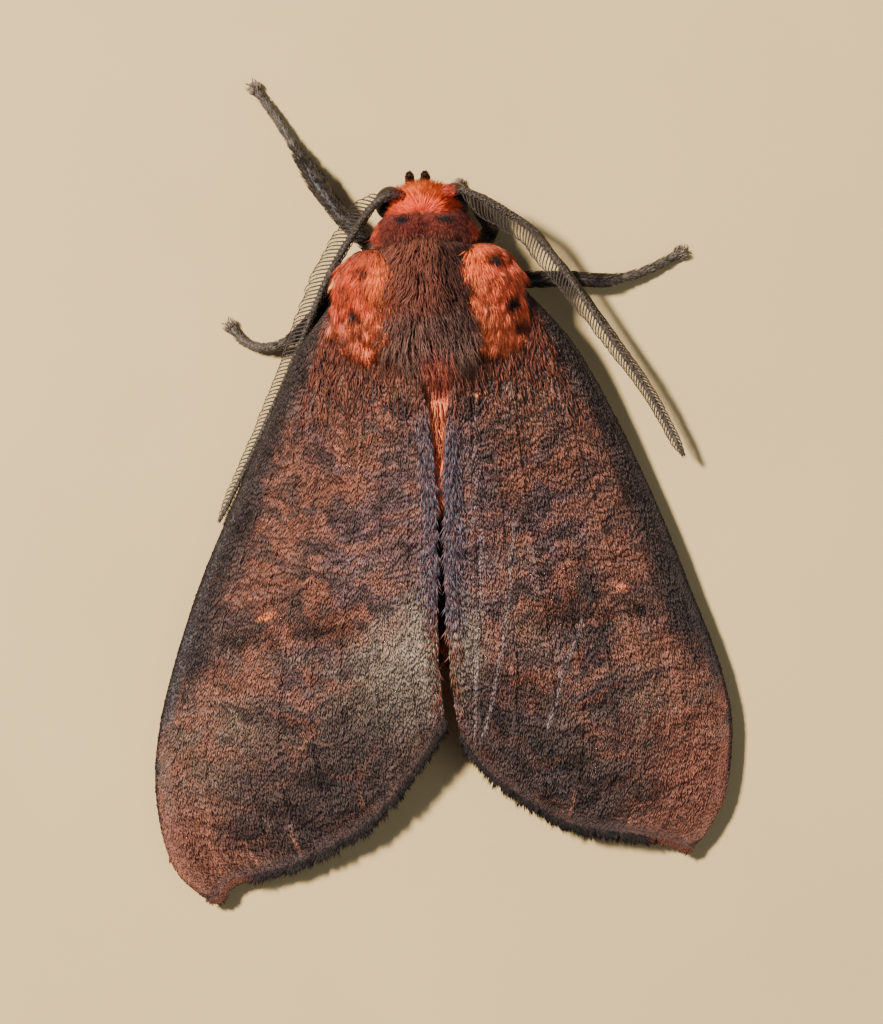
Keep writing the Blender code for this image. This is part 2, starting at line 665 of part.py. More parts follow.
def sheet(name, flat, level, thickness, raised):
    """A closed sheet over a grid of points, split into triangles alike on both faces."""
    rows, columns = flat.shape[:2]
    middle = np.dstack([flat, level])
    slope_a = np.gradient(middle, axis=0)
    slope_b = np.gradient(middle, axis=1)
    normal = np.cross(slope_a, slope_b)
    normal /= np.linalg.norm(normal, axis=2, keepdims=True)
    normal *= np.sign(normal[..., 2:])
    upper = middle + normal * (thickness / 2 + raised)[..., None]
    lower = middle - normal * (thickness / 2)[..., None]
    points = np.concatenate([upper.reshape(-1, 3), lower.reshape(-1, 3)])
    shift = rows * columns
    faces = []
    for row in range(rows - 1):
        for column in range(columns - 1):
            a = row * columns + column
            b, c, d = a + 1, a + columns + 1, a + columns
            faces += [(a, b, c), (a, c, d)]
            faces += [(shift + a, shift + c, shift + b), (shift + a, shift + d, shift + c)]
    border = ([(0, column) for column in range(columns)]
              + [(row, columns - 1) for row in range(1, rows)]
              + [(rows - 1, column) for column in range(columns - 2, -1, -1)]
              + [(row, 0) for row in range(rows - 2, 0, -1)])
    border = [row * columns + column for row, column in border]
    for a, b in zip(border, border[1:] + border[:1]):
        faces += [(a, b, shift + b), (a, shift + b, shift + a)]
    return mesh_object(name, points, faces)


# Each vein of the forewing: its place across the wing, and where along the wing it starts and ends
FOREWING_VEINS = ((0.13, 0.1, 0.97), (0.27, 0.36, 0.98), (0.4, 0.08, 0.98), (0.51, 0.52, 0.98),
                  (0.61, 0.52, 0.98), (0.71, 0.08, 0.98), (0.84, 0.3, 0.97))
CELL_END = 0.52
CELL_EDGES = (0.4, 0.71)


def forewing(name, side):
    """A forewing with its main veins raised on its upper face and the cell closed by a cross vein."""
    outline = WING_OUTLINES[side]
    along = np.sort(np.append(np.linspace(0, 1, 16), CELL_END))
    across = [0.0]
    for place_across, _, _ in FOREWING_VEINS:
        across += [place_across - VEIN_SHARE, place_across, place_across + VEIN_SHARE]
    across = np.array(across + [TIP_BAND, 1.0])
    flat = patch(outline, along, across)
    level = roof(flat[..., 0], flat[..., 1])
    raised = np.zeros(level.shape)
    for place_across, start, end in FOREWING_VEINS:
        column = np.isclose(across, place_across)
        rows = (along >= start) & (along <= end)
        raised[np.ix_(rows, column)] = VEIN_HEIGHT
    row = np.isclose(along, CELL_END)
    columns = (across >= CELL_EDGES[0]) & (across <= CELL_EDGES[1])
    raised[np.ix_(row, columns)] = VEIN_HEIGHT
    wing = sheet(name, flat, level, np.full(level.shape, WING_THICKNESS), raised)
    return cut(wing, [thorax_core(CUTTER_GROWTH)])


# The left hindwing's outline, from the wing's base outwards; the right one mirrors it
HINDWING_OUTLINE = {
    "costa": [(4.3, -8.2), (6.6, -3.4), (8.4, 1.4), (9.3, 5.6), (8.9, 9.2)],
    "inner": [(2.9, -7.6), (1.5, -4.6), (1.25, 0.0), (1.35, 4.0), (1.7, 7.2)],
    "outer": [(1.7, 7.2), (3.2, 10.0), (5.4, 11.6), (7.6, 11.2), (8.9, 9.2)],
}


def hindwing(name, side):
    """The hindwing folded flat beneath the forewing."""
    flip = 1 if side == "left" else -1
    outline = {edge: [(flip * x, y) for x, y in line] for edge, line in HINDWING_OUTLINE.items()}
    flat = patch(outline, np.linspace(0, 1, 11), np.linspace(0, 1, 9))
    level = roof(flat[..., 0], flat[..., 1]) - (WING_THICKNESS + HINDWING_GAP)
    wing = sheet(name, flat, level, np.full(level.shape, WING_THICKNESS), np.zeros(level.shape))
    return cut(wing, [thorax_core(CUTTER_GROWTH)])


# The limbs


def leg(name, path):
    """A leg from hip to foot, ending in a small flat pad on the floor."""
    points = np.asarray(path)
    stations = smooth_path(points, 2 * len(points) - 1)
    limb = tube(name, stations[:, :3], stations[:, 3])
    foot_x, foot_y = points[-1, :2]
    bpy.ops.mesh.primitive_cone_add(
        vertices=10, radius1=FOOT_RADIUS * MM, radius2=0.7 * FOOT_RADIUS * MM,
        depth=FOOT_HEIGHT * MM, location=(foot_x * MM, foot_y * MM, FOOT_HEIGHT / 2 * MM),
    )
    pad = bpy.context.object
    bpy.ops.object.transform_apply(location=True, rotation=False, scale=False)
    joined(limb, [unlinked(pad)])
    return cut(limb, [thorax_core(CUTTER_GROWTH)])


def antenna(name, side):
    """A feeler with a row of combs on either side of its shaft, each swept towards the tip."""
    path = smooth_path(ANTENNA_PATHS[side], 61)
    length = np.concatenate([[0], np.cumsum(np.linalg.norm(np.diff(path, axis=0), axis=1))])
    along = np.gradient(path, axis=0)
    along /= np.linalg.norm(along, axis=1, keepdims=True)
    shaft_stations = np.arange(0, 61, 5)
    radii = SHAFT_RADIUS * (1 - SHAFT_THINNING * shaft_stations / 60)
    radii[:2] = SCAPE_RADIUS
    shaft = tube(name, path[shaft_stations], radii)
    rami = []
    for place_along in np.arange(1.5, length[-1] - 0.2, RAMUS_PITCH):
        row = int(np.searchsorted(length, place_along))
        across = np.cross(along[row], (0.0, 0.0, 1.0))
        across /= np.linalg.norm(across)
        growing = 0.55 + 0.25 * place_along
        ending = 0.5 + 0.35 * (length[-1] - place_along)
        reach = RAMUS_LENGTH * min(1.0, growing, ending)
        for flip in (1, -1):
            droop = OUTER_DROOP if flip == OUTER_ROW[side] else INNER_DROOP
            sideways = flip * across * math.sin(RAMUS_SWEEP)
            direction = along[row] * math.cos(RAMUS_SWEEP) + sideways - (0.0, 0.0, droop)
            ends = []
            for distance, thickness in ((RAMUS_SINK, RAMUS_ROOT), (reach, RAMUS_TIP)):
                spot = path[row] + direction * distance
                ends.append(oval_ring(spot, direction, thickness / 2, thickness / 2, 3))
            rami.append(loft("ramus", ends))
    shaft = joined(shaft, rami)
    grown_head = sphere("head", HEAD_CENTRE, [size + CUTTER_GROWTH for size in HEAD_HALF_SIZE])
    return cut(shaft, [grown_head])


# The model

for old_object in list(bpy.data.objects):
    bpy.data.objects.remove(old_object)

moth = bpy.data.collections.new("moth")
workshop = bpy.data.collections.new("cutters")
bpy.context.scene.collection.children.link(moth)
bpy.context.scene.collection.children.link(workshop)
workshop.hide_render = True

centre = bpy.data.objects.new("centre", None)
centre.location = [MM * value for value in CENTRE_SHIFT]
moth.objects.link(centre)

orange_coat = (0.62, 0.13, 0.03)
brown_coat = (0.18, 0.065, 0.04)
red_coat = (0.45, 0.08, 0.03)
wing_brown = (0.12, 0.055, 0.045)
eye_black = (0.012, 0.01, 0.01)
feeler_grey = (0.35, 0.28, 0.2)
leg_grey = (0.16, 0.13, 0.1)

place(thorax(), material("thorax", brown_coat, 0.9))
place(abdomen(), material("abdomen", orange_coat, 0.9))
place(head(), material("head", orange_coat, 0.9))
for side_name, sign in (("left", 1), ("right", -1)):
    parts = (
        (eye("eye_" + side_name, sign), eye_black, 0.25),
        (palp("palp_" + side_name, sign), red_coat, 0.85),
        (patagium("patagium_" + side_name, sign), red_coat, 0.9),
        (tegula("tegula_" + side_name, sign), orange_coat, 0.9),
        (forewing("forewing_" + side_name, side_name), wing_brown, 0.8),
        (hindwing("hindwing_" + side_name, side_name), wing_brown, 0.85),
        (antenna("antenna_" + side_name, side_name), feeler_grey, 0.8),
    )
    for part, colour, roughness in parts:
        place(part, material(part.name, colour, roughness))
for leg_name, leg_path in LEG_PATHS.items():
    place(leg("leg_" + leg_name, leg_path), material("leg_" + leg_name, leg_grey, 0.8))
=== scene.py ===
# %% [markdown]
# # A tiger moth at rest
#
# The real thing is a small tiger moth, Ammalo ammaloides, about 40 mm from the tips of its forelegs
# to the ends of its folded wings. It sits on the floor with its wings closed like a roof, an orange
# coat on its shoulders and feathery feelers laid back beside it.
#
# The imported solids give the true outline. This lesson lays a finer skin just inside them and grows
# the coat, the wing scales, the feeler branches and the leg hair out of that skin as solid mesh.
# All lengths here are in millimetres, and they become metres only when a mesh is made.

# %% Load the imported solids
import math

import bpy
import numpy as np
from mathutils import Matrix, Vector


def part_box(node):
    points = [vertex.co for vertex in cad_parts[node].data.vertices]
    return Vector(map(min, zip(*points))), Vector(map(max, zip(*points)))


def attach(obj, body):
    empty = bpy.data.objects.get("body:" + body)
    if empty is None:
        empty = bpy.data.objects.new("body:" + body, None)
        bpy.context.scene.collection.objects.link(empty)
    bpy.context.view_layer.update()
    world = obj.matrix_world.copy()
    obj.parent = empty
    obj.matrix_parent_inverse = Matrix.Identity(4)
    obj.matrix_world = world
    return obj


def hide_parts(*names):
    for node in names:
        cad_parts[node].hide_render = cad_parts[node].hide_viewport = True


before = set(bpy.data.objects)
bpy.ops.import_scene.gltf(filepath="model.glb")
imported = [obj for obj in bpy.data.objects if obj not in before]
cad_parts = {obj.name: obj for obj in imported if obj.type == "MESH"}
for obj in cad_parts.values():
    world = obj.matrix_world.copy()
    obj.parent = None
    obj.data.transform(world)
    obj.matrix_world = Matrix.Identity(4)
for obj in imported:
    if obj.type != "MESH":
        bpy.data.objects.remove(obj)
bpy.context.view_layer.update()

# %% [markdown]
# ## Where the moth's middle lies
#
# Every shape below is worked out about the moth's own middle line, so that left and right mirror.
# The solids were moved sideways once to centre their box. The eyes are a mirrored pair, so the
# point halfway between their boxes tells how far, and the same move is given to every new piece.

# %% Find the middle from the two eyes
MM = 0.001
SIDES = {"left": 1, "right": -1}
EYE_CENTRE = np.array([1.58, -13.65, 3.3])
EYE_RADII = np.array([0.78, 0.85, 0.85])

eye_boxes = [np.array(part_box(name)).mean(axis=0) / MM for name in ("eye_left", "eye_right")]
SHIFT = sum(eye_boxes) / 2 - EYE_CENTRE * [0, 1, 1]
print("the middle lies at", SHIFT.round(3), "mm")


# %% [markdown]
# ## Grids, shells and meshes
#
# Almost every surface here is a grid: rows of points that a formula gives for two parameters. Numpy
# works out all of them at once, which is fast enough for a million small faces. A form is a small
# dictionary with its points, its faces and, where it has them, a colour and a map place a point.
# Forms are joined before they become one Blender mesh.

# %% Grid helpers
def unit(vectors):
    """Each vector divided by its length."""
    return vectors / np.maximum(np.linalg.norm(vectors, axis=-1, keepdims=True), 1e-9)


def grid_quads(rows, columns, wrap=False):
    """The four-cornered faces of a grid of points. With wrap, the last column joins the first."""
    number = np.arange(rows * columns).reshape(rows, columns)
    if wrap:
        number = np.concatenate([number, number[:, :1]], axis=1)
    corners = number[:-1, :-1], number[1:, :-1], number[1:, 1:], number[:-1, 1:]
    return np.stack([c.ravel() for c in corners], axis=1)


def facing_out(points, faces):
    """The same faces, turned round if the volume they close comes out negative."""
    volume = 0.0
    for rows in faces:
        for i in range(1, rows.shape[1] - 1):
            a, b, c = points[rows[:, 0]], points[rows[:, i]], points[rows[:, i + 1]]
            volume += np.einsum("ij,ij->", a, np.cross(b, c))
    return faces if volume > 0 else [rows[:, ::-1] for rows in faces]


def form(points, faces, colours=None, spots=None, check=True):
    """One closed form: its points, its lists of faces, a colour and a map place for each point."""
    points = np.asarray(points, float).reshape(-1, 3)
    if check:
        faces = facing_out(points - points.mean(axis=0), faces)
    return {"points": points, "faces": faces, "colours": colours, "spots": spots}


def joined(forms):
    """Several forms as one, with each one's corner numbers moved past those before it."""
    start, faces = 0, []
    for each in forms:
        faces += [rows + start for rows in each["faces"]]
        start += len(each["points"])
    whole = {"points": np.vstack([each["points"] for each in forms]), "faces": faces}
    for key in ("colours", "spots"):
        has = all(each[key] is not None for each in forms)
        whole[key] = np.vstack([each[key] for each in forms]) if has else None
    return whole


def piece(name, shape, material, nodes=(), smooth=True):
    """Turns a form into a Blender object that rides on the body and stands for its nodes."""
    mesh = bpy.data.meshes.new(name)
    points = (shape["points"] + SHIFT) * MM
    sizes = np.concatenate([np.full(len(rows), rows.shape[1]) for rows in shape["faces"]])
    corners = np.concatenate([rows.ravel() for rows in shape["faces"]]).astype(np.int32)
    mesh.vertices.add(len(points))
    mesh.vertices.foreach_set("co", points.astype(np.float32).ravel())
    mesh.loops.add(len(corners))
    mesh.loops.foreach_set("vertex_index", corners)
    mesh.polygons.add(len(sizes))
    starts = np.concatenate([[0], np.cumsum(sizes)[:-1]])
    mesh.polygons.foreach_set("loop_start", starts.astype(np.int32))
    mesh.update(calc_edges=True)
    if shape["spots"] is not None:
        layer = mesh.uv_layers.new(name="OFBake")
        layer.uv.foreach_set("vector", shape["spots"][corners].astype(np.float32).ravel())
    if shape["colours"] is not None:
        layer = mesh.attributes.new("markings", "FLOAT_COLOR", "POINT")
        colours = np.column_stack([np.clip(shape["colours"], 0, 1), np.ones(len(points))])
        layer.data.foreach_set("color", colours.astype(np.float32).ravel())
    if smooth:
        mesh.shade_smooth()
    mesh.materials.append(material)
    obj = bpy.data.objects.new(name, mesh)
    bpy.context.scene.collection.objects.link(obj)
    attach(obj, "root")
    if nodes:
        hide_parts(*nodes)
    print(f"{name}: {int((sizes - 2).sum())} triangles")


# %% [markdown]
# ## Smooth paths and tubes
#
# Legs, feelers, mouthparts and wing edges are all drawn as a few named points with a smooth line
# through them. A tube carries a ring along such a line, with a radius for each place on it.

# %% Path and tube helpers
def smooth_path(points, count):
    """A curve through all the points, as count places evenly spaced along it.

    Between two points it follows a cubic whose slope at each point is half the step from the point
    before to the point after.
    """
    points = np.asarray(points, float)
    ends = np.vstack([2 * points[0] - points[1], points, 2 * points[-1] - points[-2]])
    steps = np.linspace(0, 1, 24, endpoint=False)[:, None]
    dense = []
    for before, start, end, after in zip(ends, ends[1:], ends[2:], ends[3:]):
        slope = (end - before) * steps
        bend = (2 * before - 5 * start + 4 * end - after) * steps**2
        twist = (3 * start - before - 3 * end + after) * steps**3
        dense.append(0.5 * (2 * start + slope + bend + twist))
    dense = np.vstack(dense + [points[-1:]])
    length = np.concatenate([[0], np.cumsum(np.linalg.norm(np.diff(dense, axis=0), axis=1))])
    stations = np.linspace(0, length[-1], count)
    return np.stack([np.interp(stations, length, column) for column in dense.T], axis=1)


def path_frame(path, reference):
    """At each place of a path: the way along it, and two directions square to it.

    The side is the way along crossed with a reference direction, and the top is the side crossed
    with the way along.
    """
    along = unit(np.gradient(path, axis=0))
    side = unit(np.cross(along, reference))
    return along, side, np.cross(side, along)


def tube(path, radii, sides, reference=(0, 0, 1), colours=None):
    """A closed tube: at each place a ring of radius r, centre + r (cos a side + sin a top)."""
    path = np.asarray(path, float)
    _, side, top = path_frame(path, np.asarray(reference, float))
    turn = np.linspace(0, 2 * np.pi, sides, endpoint=False)[None, :, None]
    ring = np.cos(turn) * side[:, None] + np.sin(turn) * top[:, None]
    radii = np.broadcast_to(radii, len(path))
    points = path[:, None] + ring * radii[:, None, None]
    count = len(path) * sides
    first, last = np.arange(sides), np.arange(sides) + count - sides
    caps = np.concatenate(
        [
            np.stack([np.full(sides, count), np.roll(first, -1), first], axis=1),
            np.stack([np.full(sides, count + 1), last, np.roll(last, -1)], axis=1),
        ]
    )
    whole = np.vstack([points.reshape(-1, 3), path[0], path[-1]])
    quads = grid_quads(len(path), sides, wrap=True)[:, ::-1]
    if colours is not None:
        colours = np.vstack([np.repeat(colours, sides, axis=0), colours[0], colours[-1]])
    return form(whole, [quads, caps], colours)


# %% [markdown]
# ## Tufts and flakes
#
# A moth's coat is made of scales. On the body they are drawn out into hairs that lie back along it,
# and on the wings they are short blades laid like roof tiles. Both could be particle hair, but that
# is lost when the model is handed on, so here each tuft is a real solid: a three-sided spike that
# leaves the skin, bends over and ends in a point. The shorter flake is a flat four-sided sliver.
#
# Each carries one small patch of a shared map at the place of its root, so that a colour baked for
# the skin can be baked for the coat in the same way.

# %% Scatter, tufts and flakes
PATCH = 0.003
TUFT_STRAY = 0.12
FLAKE_STRAY = 0.1
# How much lighter a tuft's tip is painted than its middle: painted light on the coat's surface.
TIP_PAINTED_LIGHT = 1.15


def scatter(grid, count, rng, share=None):
    """Roots spread over a grid surface, whose rows crossed with its columns point outwards.

    A cell is drawn with a chance equal to its area times its share, and the place in it is a
    random blend of its four corners. Returns the places, the ways out, and the two parameters.
    """
    a, b, c, d = grid[:-1, :-1], grid[1:, :-1], grid[1:, 1:], grid[:-1, 1:]
    out = np.cross(c - a, d - b)
    weight = np.linalg.norm(out, axis=-1)
    if share is not None:
        weight = weight * share
    cell = rng.choice(weight.size, count, p=weight.ravel() / weight.sum())
    row, column = np.unravel_index(cell, weight.shape)
    u, v = rng.random((2, count, 1))
    low = a[row, column] * (1 - u) + b[row, column] * u
    high = d[row, column] * (1 - u) + c[row, column] * u
    places = low * (1 - v) + high * v
    u = (row + u[:, 0]) / weight.shape[0]
    v = (column + v[:, 0]) / weight.shape[1]
    return places, unit(out[row, column]), u, v


def laid(lie, out):
    """A direction laid flat on the surface: what is left of it once its part along out is gone."""
    return unit(lie - out * np.sum(lie * out, axis=-1, keepdims=True))


def map_spots(u, v, across, along):
    """Map places of a coat: the root's place on the skin's map, plus a small patch for each tuft."""
    centre = 0.01 + 0.98 * np.stack([u, v], axis=-1)[:, None]
    offsets = np.stack([across, along], axis=-1)[None] * PATCH / 2
    return np.clip(centre + offsets, 0, 1).reshape(-1, 2)


def as_column(value, count):
    """A value for all roots, or one for each, as a column with a row for each root."""
    return np.broadcast_to(value, count)[:, None]


def tufts(places, out, lie, u, v, length, width, rise, tint, rng):
    """Three-sided spikes that bend over the skin.

    At the share x of its length a tuft's height over the skin is length x rise x (1.6 x - 0.8 x x).
    It has a ring at the root, one at 0.45 and a point at the end. Roots are painted darker than tips,
    as shade deep in the coat, and tips painted lighter, as light on its surface.
    """
    count = len(places)
    length, width, rise = (as_column(value, count) for value in (length, width, rise))
    lie = laid(lie, out)
    side = np.cross(out, lie)
    roll = rng.uniform(-0.9, 0.9, (count, 1))
    flat = side * np.cos(roll) + out * np.sin(roll)
    up = out * np.cos(roll) - side * np.sin(roll)
    sway = rng.normal(0, TUFT_STRAY, (count, 1)) * length
    middle = places + lie * length * 0.45 + out * length * rise * 0.56 + side * sway * 0.3
    end = places + lie * length + out * length * rise * 0.8 + side * sway
    root = places - out * 0.06
    ring = np.stack([-flat, flat, up * 0.8], axis=1) * width[:, None] / 2
    points = np.concatenate([root[:, None] + ring, middle[:, None] + ring * 0.9, end[:, None]], axis=1)
    first = np.arange(count)[:, None] * 7
    quads = np.concatenate([first + row for row in ([0, 1, 4, 3], [1, 2, 5, 4], [2, 0, 3, 5])])
    tris = np.concatenate([first + row for row in ([3, 4, 6], [4, 5, 6], [5, 3, 6], [0, 2, 1])])
    # Painted shade and light: roots darker, as shade deep in the coat, tips lighter, as light on its
    # surface.
    shade = np.array([0.7, 0.7, 0.75, 0.97, 0.97, 1.0, TIP_PAINTED_LIGHT])[None, :, None]
    colours = np.minimum(tint[:, None] * shade, 1).reshape(-1, 3)
    spots = map_spots(u, v, np.array([-1, 1, 0, -1, 1, 0, 0]), np.array([-1, -1, -1, 0, 0, 0, 1]))
    return form(points, [quads, tris], colours, spots, check=False)


def flakes(places, out, lie, u, v, length, width, rise, tint, rng):
    """Flat four-cornered slivers: a sunk root, two raised shoulders at 0.45 and a tip."""
    count = len(places)
    length, width, rise = (as_column(value, count) for value in (length, width, rise))
    lie = laid(lie, out)
    side = np.cross(out, lie)
    sway = rng.normal(0, FLAKE_STRAY, (count, 1)) * length
    tilt = out * rng.normal(0, 0.12, (count, 1)) * width
    middle = places + lie * length * 0.45 + out * length * rise * 0.7
    left = middle - side * width / 2 - tilt
    right = middle + side * width / 2 + tilt
    end = places + lie * length + out * length * rise * 0.85 + side * sway
    root = places - out * 0.04
    points = np.stack([root, left, right, end], axis=1)
    first = np.arange(count)[:, None] * 4
    tris = np.concatenate([first + row for row in ([0, 1, 2], [3, 2, 1], [0, 2, 3], [0, 3, 1])])
    # Painted shade and light: the root is darker, as shade under the flake above, and the tip lighter, as
    # light on it.
    shade = np.array([0.78, 1.0, 1.0, 1.1])[None, :, None]
    colours = (tint[:, None] * shade).reshape(-1, 3)
    spots = map_spots(u, v, np.array([0, -1, 1, 0]), np.array([-1, 0, 0, 1]))
    return form(points, [tris], colours, spots, check=False)


# %% [markdown]
# ## Markings that are the same on skin and coat
#
# The skin and the coat above it have to agree on where each colour lies, or the skin would shine
# through in the wrong place. So a colour is a function of the place on the moth, worked out once in
# numpy for skin points and for tuft roots alike, and stored on the points as an attribute that the
# material reads. Smooth random lumps break up every edge, as scales of mixed colours do.

# %% Lumps, spots and mixing
def lumps(points, size, seed):
    """Smooth random values from -1 to 1.

    Space is cut in cells of this size, each corner gets a random number, and a place inside a cell
    blends its eight corners by the smooth step 3f^2 - 2f^3.
    """
    table = np.random.default_rng(seed).uniform(-1, 1, 4096)
    scaled = np.asarray(points, float) / np.asarray(size, float)
    cell = np.floor(scaled).astype(np.int64)
    part = scaled - cell
    part = part * part * (3 - 2 * part)
    total = np.zeros(scaled.shape[:-1])
    for corner in np.ndindex(2, 2, 2):
        key = (cell + corner) @ np.array([73856093, 19349663, 83492791])
        weight = np.prod(np.where(corner, part, 1 - part), axis=-1)
        total += weight * table[(key ^ (key >> 9)) % 4096]
    return total


def blend(colours, other, share):
    """Each colour moved towards another by its share, from 0 to 1."""
    share = np.clip(share, 0, 1)[..., None]
    return colours * (1 - share) + np.asarray(other, float) * share


def painted(colours, layers):
    """Colours with each layer's colour blended over them in turn, by the layer's share."""
    for colour, share in layers:
        colours = blend(colours, colour, share)
    return colours


def plain(colour, shape):
    """The same colour at every place of an array of this shape."""
    return np.broadcast_to(colour, (*shape, 3))


def above(x, low, soft):
    """0 under low and 1 over it, by the smooth step 3f^2 - 2f^3 over the soft width."""
    rise = np.clip((x - low) / soft + 0.5, 0, 1)
    return rise * rise * (3 - 2 * rise)


def below(x, high, soft):
    """1 under high and 0 over it, by the same smooth step."""
    fall = np.clip((high - x) / soft + 0.5, 0, 1)
    return fall * fall * (3 - 2 * fall)


def bump(x, low, high, soft):
    """1 between low and high, falling smoothly to 0 over the soft width beyond each."""
    return above(x, low, soft) * below(x, high, soft)


def spot(x, y, centre, half, soft=0.35):
    """1 inside an oval with this centre and half sizes, fading to 0 past its rim."""
    away = np.sqrt(((x - centre[0]) / half[0]) ** 2 + ((y - centre[1]) / half[1]) ** 2)
    return np.clip((1 + soft - away) / (2 * soft), 0, 1)


# %% [markdown]
# ## Finishes
#
# Every finish is a Principled BSDF. The colour comes from the markings attribute, varied by a fine
# noise in a shared node group, because no two scales reflect quite alike. Black parts such as the
# eyes are horny and shine, and the coat is dull. A second shared group makes the fine leathery grain
# that bare skin shows between its scales.

# %% Shared node groups
def new_group(name, inputs, outputs):
    """An empty shader node group. A socket is a name and a kind, and an input has a value too."""
    group = bpy.data.node_groups.new(name, "ShaderNodeTree")
    for title, kind, value in inputs:
        socket = group.interface.new_socket(name=title, in_out="INPUT", socket_type=kind)
        socket.default_value = value
    for title, kind in outputs:
        group.interface.new_socket(name=title, in_out="OUTPUT", socket_type=kind)
    return group, group.nodes.new("NodeGroupInput"), group.nodes.new("NodeGroupOutput")


def uneven_colour():
    """Colour varied scale by scale: a fine noise sets how bright a place is."""
    group, given, made = new_group(
        "uneven colour",
        [
            ("Color", "NodeSocketColor", (0.5, 0.5, 0.5, 1)),
            ("Scale", "NodeSocketFloat", 3000.0),
            ("Darkest", "NodeSocketFloat", 0.7),
            ("Lightest", "NodeSocketFloat", 1.25),
        ],
        [("Color", "NodeSocketColor")],
    )
    nodes, links = group.nodes, group.links
    place = nodes.new("ShaderNodeTexCoord")
    noise = nodes.new("ShaderNodeTexNoise")
    noise.inputs["Detail"].default_value = 3
    spread = nodes.new("ShaderNodeMapRange")
    spread.inputs["From Min"].default_value = 0.3
    spread.inputs["From Max"].default_value = 0.7
    mix = nodes.new("ShaderNodeVectorMath")
    mix.operation = "SCALE"
    links.new(place.outputs["Object"], noise.inputs["Vector"])
    links.new(given.outputs["Scale"], noise.inputs["Scale"])
    links.new(noise.outputs["Fac"], spread.inputs["Value"])
    links.new(given.outputs["Darkest"], spread.inputs["To Min"])
    links.new(given.outputs["Lightest"], spread.inputs["To Max"])
    links.new(given.outputs["Color"], mix.inputs[0])
    links.new(spread.outputs["Result"], mix.inputs["Scale"])
    links.new(mix.outputs["Vector"], made.inputs["Color"])
    return group


def grain():
    """A height for bump: small cells with a finer roughness over them."""
    group, given, made = new_group(
        "grain",
        [("Scale", "NodeSocketFloat", 6000.0), ("Fine", "NodeSocketFloat", 0.4)],
        [("Height", "NodeSocketFloat")],
    )
    nodes, links = group.nodes, group.links
    place = nodes.new("ShaderNodeTexCoord")
    cells = nodes.new("ShaderNodeTexVoronoi")
    noise = nodes.new("ShaderNodeTexNoise")
    noise.inputs["Detail"].default_value = 4
    finer = nodes.new("ShaderNodeMath")
    finer.operation = "MULTIPLY"
    finer.inputs[1].default_value = 2.5
    total = nodes.new("ShaderNodeMath")
    total.operation = "MULTIPLY_ADD"
    links.new(place.outputs["Object"], cells.inputs["Vector"])
    links.new(place.outputs["Object"], noise.inputs["Vector"])
    links.new(given.outputs["Scale"], cells.inputs["Scale"])
    links.new(given.outputs["Scale"], finer.inputs[0])
    links.new(finer.outputs[0], noise.inputs["Scale"])
    links.new(noise.outputs["Fac"], total.inputs[0])
    links.new(given.outputs["Fine"], total.inputs[1])
    links.new(cells.outputs["Distance"], total.inputs[2])
    links.new(total.outputs[0], made.inputs["Height"])
    return group


UNEVEN = uneven_colour()
GRAIN = grain()
print("node groups:", UNEVEN.name, "and", GRAIN.name)


# %% [markdown]
# ## One maker for all finishes
#
# Coat, skin, scales, claws and eyes differ in a few numbers: how rough they are, how fine their
# speckle and grain, and whether a clear coat lies over them. So one function wires the nodes for
# all of them, and a finish is one line of values.

# %% One maker for all finishes
def finish(
    name, colour=None, roughness=0.6, speck=3000, spread=(0.75, 1.2), grain_size=None,
    grain_depth=0.00002, coat=0.0, specular=0.4,
):
    """A finish: its colour from the markings or given here, unevenness, and a grain if it has one."""
    material = bpy.data.materials.new(name)
    material.use_nodes = True
    nodes, links = material.node_tree.nodes, material.node_tree.links
    shader = nodes["Principled BSDF"]
    shader.inputs["Roughness"].default_value = roughness
    shader.inputs["Specular IOR Level"].default_value = specular
    shader.inputs["Coat Weight"].default_value = coat
    uneven = nodes.new("ShaderNodeGroup")
    uneven.node_tree = UNEVEN
    uneven.inputs["Scale"].default_value = speck
    uneven.inputs["Darkest"].default_value = spread[0]
    uneven.inputs["Lightest"].default_value = spread[1]
    if colour is None:
        marks = nodes.new("ShaderNodeAttribute")
        marks.attribute_name = "markings"
        links.new(marks.outputs["Color"], uneven.inputs["Color"])
    else:
        uneven.inputs["Color"].default_value = (*colour, 1)
    links.new(uneven.outputs["Color"], shader.inputs["Base Color"])
    if grain_size:
        height = nodes.new("ShaderNodeGroup")
        height.node_tree = GRAIN
        height.inputs["Scale"].default_value = grain_size
        relief = nodes.new("ShaderNodeBump")
        relief.inputs["Distance"].default_value = grain_depth
        links.new(height.outputs["Height"], relief.inputs["Height"])
        links.new(relief.outputs["Normal"], shader.inputs["Normal"])
    return material


BODY_COAT = finish("body coat", roughness=0.62, speck=4000, specular=0.3)
BODY_SKIN = finish("body skin", roughness=0.7, speck=2500, grain_size=5000, specular=0.3)
WING_SCALES = finish("wing scales", roughness=0.62, speck=2200, spread=(0.75, 1.25), specular=0.2)
WING_SKIN = finish("wing skin", roughness=0.6, speck=2500, grain_size=8000, specular=0.3)
print(len(bpy.data.materials), "finishes")

# %% [markdown]
# ## The shapes that everything is set on
#
# Two simple height functions carry the whole moth. The dome is the top of the furry thorax, and the
# roof is the folded wings, with its ridge over the abdomen and its eaves along the leading edges.
# They are the same ones that the solids were made from, so the coat ends where the solids end. The
# dome comes first, for the body and its flaps, and the roof comes with the wings.

# %% Dome
DOME_HEIGHT = 7.5
DOME_TOP_Y = -9.0


def dome(x, y):
    """Top of the thorax coat: highest at DOME_TOP_Y, falling with the square of the distance."""
    behind = np.maximum(y - DOME_TOP_Y, 0)
    ahead = np.maximum(DOME_TOP_Y - y, 0)
    side = 0.12 + 0.032 * np.maximum(ahead - 1.0, 0)
    return DOME_HEIGHT - 0.04 * behind**2 - 0.115 * ahead**2 - side * x**2


